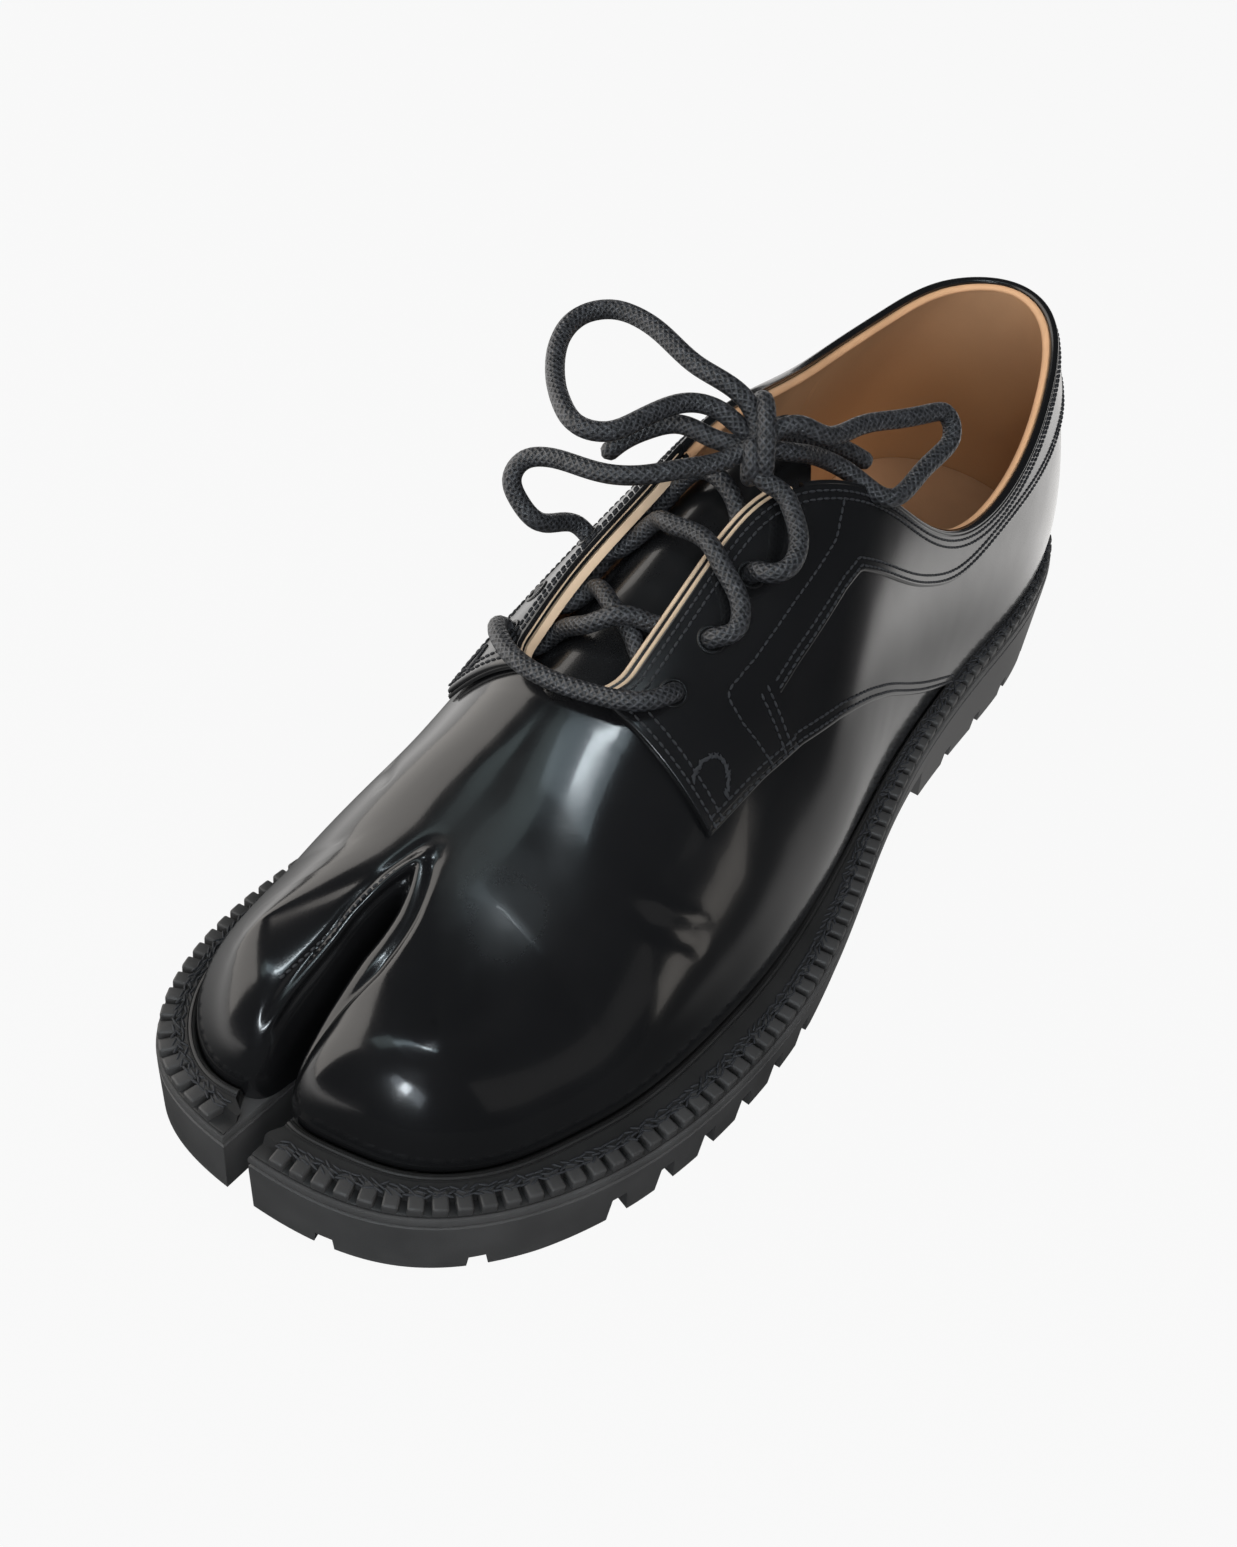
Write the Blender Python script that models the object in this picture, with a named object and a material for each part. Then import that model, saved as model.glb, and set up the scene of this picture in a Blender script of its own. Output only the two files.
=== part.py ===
"""Split toe lace-up shoe for the left foot, standing on its sole, toe towards -Y, outer side +X.

A lugged unit sole carries a toothed welt and a hollow upper with a cleft between the big toe and the
other toes. Quarters and facings lie over the upper, a tongue and an insole lie in it, and a round lace
runs between the facings. Tables and sizes are in millimetres.
"""

import math

import bmesh
import bpy
import numpy as np
from mathutils import Matrix, Vector

MM = 0.001
GAP = 0.3

# Driving sizes
SHOE_LENGTH = 288.0
UPPER_WALL = 1.6
QUARTER_WALL = 1.1
FACING_WALL = 0.9
WELT_BASE = 1.2
WELT_HEIGHT = 2.6
TOOTH_PITCH = 4.3
TOOTH_LENGTH = 5.2
TOOTH_SHARE = 0.68
TONGUE_WALL = 1.5
INSOLE_THICKNESS = 2.4
LACE_DIAMETER = 4.0
CORD_STEP = 2.0
FOOT_ROWS = 3
QUARTER_ROWS = 3
FACING_ROWS = 3

# Plan of the sole: one row for each place on its edge, heel first, round the outer side
SOLE_PLAN = (
    # place, x, y
    ("heel back", 0.0, 144.0),
    ("outer heel corner", 26.2, 133.8),
    ("outer heel", 39.2, 105.0),
    ("outer heel front", 40.8, 65.0),
    ("outer waist", 43.2, 20.0),
    ("outer ball rear", 53.0, -30.0),
    ("outer ball", 53.6, -70.0),
    ("little toe", 44.4, -107.5),
    ("outer toe corner", 20.5, -137.6),
    ("toe front", -10.5, -144.0),
    ("inner toe corner", -36.0, -138.0),
    ("big toe", -51.6, -106.5),
    ("inner ball", -50.6, -70.0),
    ("inner ball rear", -44.0, -20.0),
    ("inner waist", -34.6, 25.0),
    ("inner heel front", -34.2, 65.0),
    ("inner heel", -36.0, 105.0),
    ("inner heel corner", -25.8, 134.2),
)

# Side view of the sole: heights of its upper face and of its underside
SOLE_SIDE = (
    # place, y, top, under
    ("toe tip", -145.0, 20.2, 3.8),
    ("toe", -118.0, 17.0, 0.9),
    ("tread front", -98.0, 15.2, 0.0),
    ("ball", -55.0, 14.0, 0.0),
    ("tread end", -38.0, 14.1, 0.0),
    ("waist front", -26.0, 14.7, 4.6),
    ("waist", 6.0, 17.2, 8.6),
    ("heel breast top", 37.0, 20.4, 10.6),
    ("heel breast foot", 40.0, 20.7, 0.0),
    ("heel", 92.0, 24.0, 0.0),
    ("heel back", 145.0, 25.0, 0.0),
)

# Slot in the front of the sole, between the big toe and the other toes
SLOT_CENTRE = -12.5
SLOT_WIDTH = 6.0
SLOT_ROOT_Y = -108.0

# Side of the sole from its tread up: how far each line lies in from the edge, and its depth under the top
SOLE_STEPS = ((0.3, None), (0.0, 2.9), (0.7, 2.3), (0.0, 1.7), (0.0, 0.0))
SOLE_SPACING = 6.5
SOLE_MARKS = (36.9, 40.1, -26.0, -38.0)
TOE_ZONE_Y = -120.0

# Notches that part the lugs: first and last place along the sole's edge, number, reach from the edge, height
NOTCH_WIDTH = 4.4
NOTCHES = (
    (42.0, 110.0, 5, 12.0, 4.0),
    (210.0, 270.5, 6, 13.0, 6.4),
    (300.0, 329.0, 2, 7.0, 3.0),
    (400.0, 492.0, 8, 13.0, 6.4),
    (573.0, 641.0, 5, 12.0, 4.0),
)

# Welt: step back from the sole's edge, seat of its stitches, and its bead by distance from the upper and
# height. The bead fades from the first place behind the ball to the second one, to a share of its size
WELT_INSET = 0.5
WELT_SEAT = 0.6
BEAD_CLEAR = 3.8
BEAD_FADE = (-25.0, 35.0, 0.25)
WELT_BEAD = ((0.0, 0.0), (0.0, 3.2), (1.0, 3.8), (2.0, 2.8))

# Top line of the last, from the comb over the heel to the toe tips. It forks in front of FORK_Y
RIDGE = (
    # place, y, x, z
    ("comb rear", 124.0, 0.0, 110.0),
    ("comb", 100.0, 0.0, 111.5),
    ("ankle", 64.0, 1.0, 116.0),
    ("instep top", 28.0, 1.0, 115.5),
    ("instep", 4.0, -0.5, 108.5),
    ("facing top", -12.0, -1.5, 101.0),
    ("lacing", -32.0, -3.0, 92.0),
    ("throat", -50.0, -4.0, 83.0),
    ("throat front", -62.0, -5.0, 76.0),
    ("vamp", -72.0, -6.5, 69.0),
    ("vamp front", -82.0, -8.5, 61.5),
    ("toe box", -98.0, -11.0, 51.5),
    ("toe tip", -114.0, -12.0, 45.0),
)
FORK_Y = -90.0
TIP_Y = -114.0
OUTER_LOBE_SPREAD = 22.0
INNER_LOBE_SPREAD = -17.5

# Sections of the last, one row each: where it meets the sole, where it meets the top line, its belly
# above the sole, how square its shoulder is, its crown, the share where the opening cuts it, and how far
# its foot is tucked under
OUTER_SECTIONS = (
    # place, foot x, foot y, ridge y, belly, square, crown, opening, tuck
    ("heel seam", 0.0, 136.6, 124.0, 2.4, 1.6, 0.0, 0.595, 0.0),
    ("heel corner", 21.8, 127.6, 118.0, 2.4, 1.6, 0.0, 0.58, -1.0),
    ("heel side", 32.0, 103.6, 102.0, 2.4, 1.65, 0.0, 0.50, -1.6),
    ("ankle", 33.2, 65.0, 65.0, 2.4, 1.95, 0.0, 0.345, -1.4),
    ("waist", 35.8, 19.0, 24.0, 2.2, 1.9, 0.02, 0.53, -0.2),
    ("collar front", 40.2, -5.0, 2.0, 2.4, 2.1, 0.1, 0.755, 1.6),
    ("facing top", 43.4, -20.0, -11.0, 2.8, 2.2, 0.2, 0.865, 3.6),
    ("facing", 45.4, -38.0, -31.0, 3.0, 2.25, 0.3, 0.877, 4.4),
    ("facing foot", 46.0, -54.0, -51.0, 3.0, 2.3, 0.32, 0.87, 5.0),
    ("throat front", 45.6, -64.0, -62.0, 3.0, 2.3, 0.35, 1.0, 5.4),
    ("vamp", 44.6, -76.0, -71.0, 2.8, 2.35, 0.35, 1.0, 5.6),
    ("vamp front", 42.2, -90.0, -82.0, 2.6, 2.4, 0.35, 1.0, 5.8),
    ("fork", 40.0, -96.6, -90.0, 2.5, 2.4, 0.35, 1.0, 5.5),
    ("toe side", 36.6, -104.0, -98.0, 2.4, 2.4, 0.35, 1.0, 4.8),
    ("lobe tip", 27.6, -120.0, -111.0, 2.2, 2.4, 0.35, 1.0, 3.4),
    ("lobe corner", 15.6, -130.2, -114.0, 2.0, 2.4, 0.35, 1.0, 2.6),
    ("lobe front", 3.0, -134.4, -114.0, 1.6, 2.5, 0.33, 1.0, 2.9),
    ("cleft corner", -8.6, -133.2, -114.0, 0.6, 3.0, 0.3, 1.0, 1.0),
    ("cleft mouth", -10.4, -126.4, -111.0, 0.0, 4.5, 0.27, 1.0, 0.0),
    ("cleft", -10.8, -114.0, -101.5, 0.0, 6.0, 0.24, 1.0, 0.0),
    ("cleft end", -11.2, -101.0, -94.5, 0.0, 6.0, 0.24, 1.0, 0.0),
)
CLEFT_ROOT = ("cleft root", -12.3, -96.2, -90.0, 0.0, 6.0, 0.24, 1.0, 0.0)
INNER_SECTIONS = (
    # place, foot x, foot y, ridge y, belly, square, crown, opening, tuck
    ("heel corner", -21.2, 128.4, 118.0, 2.4, 1.6, 0.0, 0.57, 0.0),
    ("heel side", -28.8, 104.0, 102.0, 2.4, 1.65, 0.0, 0.53, 0.0),
    ("ankle", -27.2, 65.0, 65.0, 2.6, 1.95, 0.0, 0.46, 0.0),
    ("waist", -27.0, 24.0, 26.0, 2.8, 1.9, 0.02, 0.62, 0.0),
    ("collar front", -31.2, -2.0, 3.0, 2.8, 2.1, 0.1, 0.71, 0.0),
    ("facing top", -35.2, -19.0, -11.0, 2.8, 2.2, 0.2, 0.75, 0.0),
    ("facing", -38.6, -38.0, -31.0, 2.8, 2.25, 0.3, 0.74, 0.0),
    ("facing foot", -40.6, -54.0, -51.0, 2.8, 2.3, 0.32, 0.77, 0.0),
    ("throat front", -41.6, -64.0, -62.0, 2.8, 2.3, 0.35, 1.0, 0.0),
    ("vamp", -42.6, -76.0, -71.0, 2.6, 2.35, 0.35, 1.0, 0.0),
    ("vamp front", -43.4, -90.0, -82.0, 2.4, 2.4, 0.35, 1.0, 0.0),
    ("fork", -43.5, -97.4, -90.0, 2.3, 2.4, 0.35, 1.0, 0.0),
    ("toe side", -43.2, -105.0, -98.0, 2.2, 2.4, 0.35, 1.0, 0.0),
    ("lobe tip", -39.6, -120.0, -110.0, 2.0, 2.4, 0.35, 1.0, 0.0),
    ("lobe corner", -31.4, -130.6, -114.0, 1.8, 2.4, 0.35, 1.0, 0.0),
    ("lobe front", -23.4, -134.2, -114.0, 1.4, 2.5, 0.33, 1.0, 0.0),
    ("cleft corner", -16.6, -132.8, -114.0, 0.6, 3.0, 0.3, 1.0, 0.0),
    ("cleft mouth", -14.9, -126.4, -111.0, 0.0, 4.5, 0.27, 1.0, 0.0),
    ("cleft", -14.2, -114.0, -101.5, 0.0, 6.0, 0.24, 1.0, 0.0),
    ("cleft end", -13.4, -101.0, -94.5, 0.0, 6.0, 0.24, 1.0, 0.0),
)

# Lower edge of the quarters and of the facings with their collar band: girth and share of the section
QUARTER_FOOT = 3.3
QUARTER_FRONT = 214.2
FACING_CORNER = (190.2, 190.8)
FACING_STEP = 0.015
QUARTER_EDGE = (
    (0.0, 0.0),
    (103.0, 0.04),
    (118.0, 0.115),
    (133.4, 0.194),
    (157.6, 0.311),
    (176.1, 0.41),
    (188.4, 0.466),
    (199.6, 0.499),
    (214.2, 0.525),
)
FACING_EDGE = (
    (0.0, 0.455),
    (23.6, 0.44),
    (49.7, 0.385),
    (70.0, 0.325),
    (93.2, 0.284),
    (113.2, 0.307),
    (127.5, 0.371),
    (144.1, 0.466),
    (159.0, 0.569),
    (170.2, 0.598),
    (184.0, 0.61),
    (190.2, 0.60),
    (190.8, 0.475),
    (214.2, 0.525),
)

# Tongue: rows along the top line, its depth under the last, and where its two edges lie
TONGUE = (
    # ridge y, depth, outer share, inner share
    (-70.0, 2.7, 0.84, 0.80),
    (-62.0, 3.2, 0.80, 0.74),
    (-54.0, 5.0, 0.77, 0.68),
    (-46.0, 6.2, 0.75, 0.64),
    (-30.0, 6.2, 0.74, 0.62),
    (-12.0, 6.2, 0.73, 0.62),
    (2.0, 6.0, 0.74, 0.65),
    (9.0, 5.6, 0.80, 0.74),
)

# Lace: crossings over the tongue, by the two places on the top line that they join and their lift
LACE_CROSSINGS = (
    ("lace_cross_low", -50.0, -39.0, -1.0),
    ("lace_cross_high", -36.0, -24.0, -1.0),
)
CROSSING_SHARES = (0.915, 0.96, 0.92, 0.84)

# Eyelets that a strand of the lace comes out of: girth and share of the section
FACING_FACE = 2.0 * GAP + QUARTER_WALL + FACING_WALL
EYELETS = {
    "outer top": (184.6, 0.79),
    "inner top": (512.85, 0.66),
}

# Knot of the bow: its centre and its three half sizes
KNOT_CENTRE = (2.5, -9.0, 110.8)
KNOT_RADII = (6.8, 5.8, 5.8)

# Bar of the lace across the foot of the throat
LACE_BAR = ((-25.4, -52.0, 79.0), (-17.1, -60.3, 81.0), (-6.3, -62.8, 81.5), (4.5, -61.6, 82.5),
            (13.2, -58.0, 83.8), (15.4, -52.4, 84.4))

# Strands of the bow: an eyelet or a direction from the knot's centre at each end, None for a bare end,
# and the places each strand runs through between them
LACE_STRANDS = (
    # name, start, end, places
    ("lace_tail_outer", "outer top", (0.585, -0.599, -0.547),
     ((20.4, -24.6, 103.2), (19.4, -19.4, 104.0), (15.4, -18.0, 103.4))),
    ("lace_tail_inner", "inner top", (-0.325, -0.891, -0.321),
     ((-32.0, -33.4, 95.6), (-34.4, -34.6, 99.4), (-30.4, -33.0, 102.6), (-20.8, -32.1, 105.0),
      (-11.0, -29.4, 106.2))),
    ("lace_loop_outer", (0.712, 0.579, 0.4), (0.906, 0.218, -0.363),
     ((17.6, 12.0, 112.4), (21.2, 24.0, 108.0), (25.6, 36.4, 103.6), (28.4, 30.0, 101.4), (26.4, 20.0, 100.4),
      (23.4, 11.0, 101.6), (20.2, 3.4, 103.4))),
    ("lace_loop_inner", (-0.555, -0.701, 0.446), (-0.775, 0.14, 0.616),
     ((-13.4, -28.6, 116.4), (-21.2, -34.0, 115.5), (-31.2, -27.5, 117.4), (-36.2, -12.0, 121.6),
      (-29.4, -1.6, 122.8), (-18.4, -3.4, 122.0))),
    ("lace_end_outer", (0.035, 0.959, -0.281), None,
     ((6.6, 11.4, 106.6), (12.4, 15.6, 103.0), (16.2, 17.6, 97.4))),
    ("lace_end_inner", (-0.88, -0.164, -0.453), None,
     ((-17.5, -16.0, 103.6), (-24.3, -20.5, 101.5), (-28.5, -23.5, 97.5))),
)


def spline(knots, rows, at, closed=False):
    """Values at the places given, on the smooth curve through the rows; a closed one ends as it starts."""
    x = np.asarray(knots, float)
    y = np.asarray(rows, float).reshape(len(x), -1)
    h = np.diff(x)[:, None]
    slope = np.diff(y, axis=0) / h
    count = len(x)
    system = np.zeros((count, count))
    right = np.zeros_like(y)
    for i in range(1, count - 1):
        system[i, i - 1:i + 2] = h[i - 1, 0], 2.0 * (h[i - 1, 0] + h[i, 0]), h[i, 0]
        right[i] = 6.0 * (slope[i] - slope[i - 1])
    system[0, 0] = system[-1, -1] = 1.0
    if closed:
        system[0, -1] = -1.0
        system[-1, 0], system[-1, 1] = 2.0 * h[0, 0], h[0, 0]
        system[-1, -2], system[-1, -1] = h[-1, 0], 2.0 * h[-1, 0]
        right[-1] = 6.0 * (slope[0] - slope[-1])
    bend = np.linalg.solve(system, right)
    at = np.atleast_1d(np.asarray(at, float))
    if closed:
        at = np.mod(at - x[0], x[-1] - x[0]) + x[0]
    i = np.clip(np.searchsorted(x, at, side="right") - 1, 0, count - 2)
    d = (at - x[i])[:, None]
    first = slope[i] - h[i] * (2.0 * bend[i] + bend[i + 1]) / 6.0
    return y[i] + d * first + d ** 2 * bend[i] / 2.0 + d ** 3 * (bend[i + 1] - bend[i]) / (6.0 * h[i])


def chord_knots(points):
    """Distance along a row of points, from its first one."""
    steps = np.linalg.norm(np.diff(np.asarray(points, float), axis=0), axis=1)
    return np.concatenate(([0.0], np.cumsum(steps)))


def normals_2d(points):
    """Outward normals of a closed plan curve that runs from the heel round the outer side."""
    tangent = np.roll(points, -1, axis=0) - np.roll(points, 1, axis=0)
    tangent /= np.linalg.norm(tangent, axis=1)[:, None]
    return np.stack((-tangent[:, 1], tangent[:, 0]), axis=1)


# The sole's plan as a fine closed curve with its distance along the edge, from the heel
SOLE_POINTS = np.array([row[1:] for row in SOLE_PLAN + SOLE_PLAN[:1]])
SOLE_KNOTS = chord_knots(SOLE_POINTS)
SOLE_FINE = spline(SOLE_KNOTS, SOLE_POINTS, np.linspace(0.0, SOLE_KNOTS[-1], 2400, endpoint=False), True)
SOLE_FINE = SOLE_FINE - (SOLE_FINE.max(axis=0) + SOLE_FINE.min(axis=0)) / 2.0
SOLE_FINE = SOLE_FINE * np.array((1.0, SHOE_LENGTH / np.ptp(SOLE_FINE[:, 1])))
SOLE_NORMALS = normals_2d(SOLE_FINE)
SOLE_EDGE = chord_knots(np.vstack((SOLE_FINE, SOLE_FINE[:1])))


def sole_edge(s, inset=0.0):
    """Plan points on the sole's edge at the distances given, moved inwards by the inset."""
    s = np.mod(s, SOLE_EDGE[-1])
    at = np.interp(s, SOLE_EDGE, np.arange(len(SOLE_EDGE))).astype(int) % len(SOLE_FINE)
    share = (s - SOLE_EDGE[at]) / (SOLE_EDGE[at + 1] - SOLE_EDGE[at])
    after = (at + 1) % len(SOLE_FINE)
    point = SOLE_FINE[at] + (SOLE_FINE[after] - SOLE_FINE[at]) * share[:, None]
    normal = SOLE_NORMALS[at] + (SOLE_NORMALS[after] - SOLE_NORMALS[at]) * share[:, None]
    return point - normal * inset


SIDE_Y = np.array([row[1] for row in SOLE_SIDE])
SIDE_TOP = np.array([row[2] for row in SOLE_SIDE])
SIDE_UNDER = np.array([row[3] for row in SOLE_SIDE])
SMOOTH_ROWS = np.array([i for i, row in enumerate(SOLE_SIDE) if row[0] != "heel breast foot"])


def sole_top(y):
    """Height of the sole's upper face."""
    return spline(SIDE_Y[SMOOTH_ROWS], SIDE_TOP[SMOOTH_ROWS], y)[:, 0]


def sole_under(y):
    """Height of the sole's underside, with the step of the heel breast."""
    return np.interp(y, SIDE_Y, SIDE_UNDER)


RIDGE_ROWS = np.array([row[1:] for row in RIDGE])


def ridge(y, spread):
    """Points of the last's top line; in front of the fork it leans to one side by the spread."""
    y = np.clip(y, TIP_Y, RIDGE_ROWS[0, 0])
    xz = spline(-RIDGE_ROWS[:, 0], RIDGE_ROWS[:, 1:], -y)
    ahead = np.clip((FORK_Y - y) / (FORK_Y - TIP_Y), 0.0, 1.0)
    return np.stack((xz[:, 0] + spread * ahead, y, xz[:, 1]), axis=1)


# The sections in one closed round: outer side, cleft root, inner side. A girth is a distance along it
SECTIONS = OUTER_SECTIONS + (CLEFT_ROOT,) + INNER_SECTIONS[::-1] + OUTER_SECTIONS[:1]
SECTION_ROWS = np.array([row[1:] for row in SECTIONS])
GIRTHS = chord_knots(SECTION_ROWS[:, :2])
ROOT_ROW = len(OUTER_SECTIONS)
ROOT_GIRTH = GIRTHS[ROOT_ROW]


def girth_of(place, outer=True):
    """Girth of a named section of the outer or inner side."""
    rows = [i for i, row in enumerate(SECTIONS) if row[0] == place and (i <= ROOT_ROW) == outer]
    return GIRTHS[rows[0]]


OPEN_ROWS = np.array([i for i, row in enumerate(SECTIONS) if row[7] < 1.0])


def opening(a):
    """Share of the section where the collar and throat cut the upper; 1 where the section is closed."""
    half = GIRTHS[-1] / 2.0
    a = np.mod(np.asarray(a, float) + half, GIRTHS[-1]) - half
    knots = np.mod(GIRTHS[OPEN_ROWS] + half, GIRTHS[-1]) - half
    knots, keep = np.unique(np.round(knots, 6), return_index=True)
    share = spline(knots, SECTION_ROWS[OPEN_ROWS, 6][keep], np.clip(a, knots[0], knots[-1]))[:, 0]
    ends = girth_of("throat front", False) - GIRTHS[-1], girth_of("throat front")
    into = np.maximum((knots[0] - a) / (knots[0] - ends[0]), (a - knots[-1]) / (ends[1] - knots[-1]))
    into = np.clip(into, 0.0, 1.0)
    return share + (1.0 - share) * into ** 2


# Makes the belly of a section the height of its swell
SWELL = 256.0 / 27.0


def last_point(a, t):
    """Points of the last at the girths a and the shares t of its sections, from sole to top line."""
    a = np.asarray(a, float)
    t = np.asarray(t, float)
    foot_x, foot_y, ridge_y, belly, square, crown, _, tuck = spline(GIRTHS, SECTION_ROWS, a, True).T
    ahead = spline(GIRTHS, SECTION_ROWS[:, :2], a + 0.5, True)
    behind = spline(GIRTHS, SECTION_ROWS[:, :2], a - 0.5, True)
    along = ahead - behind
    along /= np.linalg.norm(along, axis=1)[:, None]
    spread = np.where(np.mod(a, GIRTHS[-1]) <= ROOT_GIRTH, OUTER_LOBE_SPREAD, INNER_LOBE_SPREAD)
    top = ridge(ridge_y, spread)
    foot_z = sole_top(foot_y) + GAP
    across = 1.0 - np.cos(t * math.pi / 2.0)
    rest = 1.0 - across
    up = (1.0 - crown) * (1.0 - rest ** square) ** (1.0 / square) + crown * (1.0 - rest ** 2)
    swell = (SWELL * belly * up - tuck) * (1.0 - up) ** 3
    x = foot_x + (top[:, 0] - foot_x) * across - along[:, 1] * swell
    y = foot_y + (top[:, 1] - foot_y) * across + along[:, 0] * swell
    z = foot_z + (top[:, 2] - foot_z) * up
    return np.stack((x, y, z), axis=1)


def last_lifted(a, t, lift):
    """Points of the last moved outwards along its normals."""
    a = np.asarray(a, float)
    t = np.asarray(t, float)
    low = np.clip(t, 0.01, 0.985)
    du = last_point(a + 0.4, low) - last_point(a - 0.4, low)
    dv = last_point(a, low + 0.01) - last_point(a, low - 0.01)
    normal = np.cross(du, dv)
    normal /= np.linalg.norm(normal, axis=1)[:, None]
    return last_point(a, t) - normal * lift


# Shares of the lowest part of a section, close enough to find a height on it
FOOT_SHARES = np.linspace(0.0, 0.3, 61)


def foot_line(a, height, lift=0.0):
    """Points of the last at one height above the sole, moved outwards in plan."""
    points = []
    heights = np.broadcast_to(height, np.shape(a))
    for girth, level in zip(a, heights):
        column = last_point(np.full(len(FOOT_SHARES), girth), FOOT_SHARES)
        above = column[:, 2] - column[0, 2]
        points.append([np.interp(level, above, column[:, k]) for k in range(3)])
    points = np.array(points)
    ahead = spline(GIRTHS, SECTION_ROWS[:, :2], a + 0.5, True)
    along = ahead - spline(GIRTHS, SECTION_ROWS[:, :2], a - 0.5, True)
    along /= np.linalg.norm(along, axis=1)[:, None]
    points[:, 0] -= along[:, 1] * lift
    points[:, 1] += along[:, 0] * lift
    return points


def bead_share(y):
    """Share of its full size that the welt's bead has at each place along the shoe."""
    front, rear, least = BEAD_FADE
    return np.interp(y, (front, rear), (1.0, least))


def tooth_root(s):
    """Plan points where the teeth of the welt start, between the sole's edge and the bead."""
    fine = np.linspace(girth_of("cleft corner", False) - GIRTHS[-1], girth_of("cleft corner"), 500)
    foot = foot_line(fine, WELT_HEIGHT)[:, :2]
    edge = sole_edge(s)
    ledge = np.array([np.sqrt(((foot - place) ** 2).sum(axis=1).min()) for place in edge])
    bead = GAP + WELT_BEAD[-1][0] * bead_share(edge[:, 1])
    inset = np.clip(ledge - bead - WELT_SEAT, 2.4, WELT_INSET + TOOTH_LENGTH)
    return edge + (sole_edge(s, 1.0) - edge) * inset[:, None]


def material(name, colour, roughness):
    """One plain surface for a sub-part."""
    made = bpy.data.materials.new(name)
    made.use_nodes = True
    shader = made.node_tree.nodes["Principled BSDF"]
    shader.inputs["Base Color"].default_value = (*colour, 1.0)
    shader.inputs["Roughness"].default_value = roughness
    made.diffuse_color = (*colour, 1.0)
    return made


def add_object(name, bm, surface):
    """Turn a finished edit mesh, in metres, into a named object with outward faces."""
    bmesh.ops.recalc_face_normals(bm, faces=bm.faces)
    if bm.calc_volume(signed=True) < 0.0:
        bmesh.ops.reverse_faces(bm, faces=bm.faces)
    mesh = bpy.data.meshes.new(name)
    bm.to_mesh(mesh)
    bm.free()
    mesh.materials.append(surface)
    made = bpy.data.objects.new(name, mesh)
    bpy.context.collection.objects.link(made)
    return made


def add_rows(bm, points):
    """Vertices of a row of points given in millimetres."""
    return [bm.verts.new(Vector(point) * MM) for point in points]


def bridge(bm, lower, upper, closed=False):
    """Triangles between two rows of the same length, all split the same way."""
    count = len(lower) if closed else len(lower) - 1
    for i in range(count):
        k = (i + 1) % len(lower)
        for corners in ((lower[i], lower[k], upper[k]), (lower[i], upper[k], upper[i])):
            if len(set(corners)) == 3:
                bm.faces.new(corners)


def zip_rows(bm, first, second):
    """Triangles between two rows of different lengths that run side by side."""
    i = k = 0
    while i < len(first) - 1 or k < len(second) - 1:
        next_first = (i + 1) / (len(first) - 1) if i < len(first) - 1 else 2.0
        next_second = (k + 1) / (len(second) - 1) if k < len(second) - 1 else 2.0
        if next_first <= next_second:
            bm.faces.new((first[i], first[i + 1], second[k]))
            i += 1
        else:
            bm.faces.new((first[i], second[k + 1], second[k]))
            k += 1


def slab(name, lower, upper, surface):
    """Closed sheet between two grids of points, from its under side to its outer side."""
    bm = bmesh.new()
    under = [add_rows(bm, row) for row in lower]
    over = [add_rows(bm, row) for row in upper]
    for i in range(len(under) - 1):
        bridge(bm, under[i], under[i + 1])
        bridge(bm, over[i], over[i + 1])
    bridge(bm, over[0], under[0])
    bridge(bm, under[-1], over[-1])
    bridge(bm, [row[0] for row in under], [row[0] for row in over])
    bridge(bm, [row[-1] for row in over], [row[-1] for row in under])
    return add_object(name, bm, surface)


def plate(name, rows, strips, surface):
    """Solid between a stack of closed plan loops; its two caps are cut into strips across the shoe."""
    bm = bmesh.new()
    loops = [add_rows(bm, row) for row in rows]
    for lower, upper in zip(loops, loops[1:]):
        bridge(bm, lower, upper, True)
    caps = [bm.faces.new(loops[0][::-1]), bm.faces.new(loops[-1])]
    for y in strips:
        edges = {edge for cap in caps for edge in cap.edges}
        verts = {vert for cap in caps for vert in cap.verts}
        cut = bmesh.ops.bisect_plane(bm, geom=[*caps, *edges, *verts], dist=1e-6,
                                     plane_co=(0.0, y * MM, 0.0), plane_no=(0.0, 1.0, 0.0))
        caps = [part for part in cut["geom"] if isinstance(part, bmesh.types.BMFace)]
    bmesh.ops.triangulate(bm, faces=caps)
    return add_object(name, bm, surface)


def rear_girths():
    """Girths of the columns from the heel to the quarter's front edge, on the outer side."""
    heel = np.linspace(0.0, 62.0, 11)
    side = np.linspace(73.0, QUARTER_FRONT, 12)
    return np.sort(np.concatenate((heel, side, FACING_CORNER)))


def inner_girth(a):
    """Girth on the inner side that stands opposite a girth on the outer side."""
    names = [row[0] for row in OUTER_SECTIONS[1:]]
    outer = np.array([0.0] + [girth_of(name) for name in names])
    inner = np.array([GIRTHS[-1]] + [girth_of(name, False) for name in names])
    return np.interp(a, outer, inner)


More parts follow.
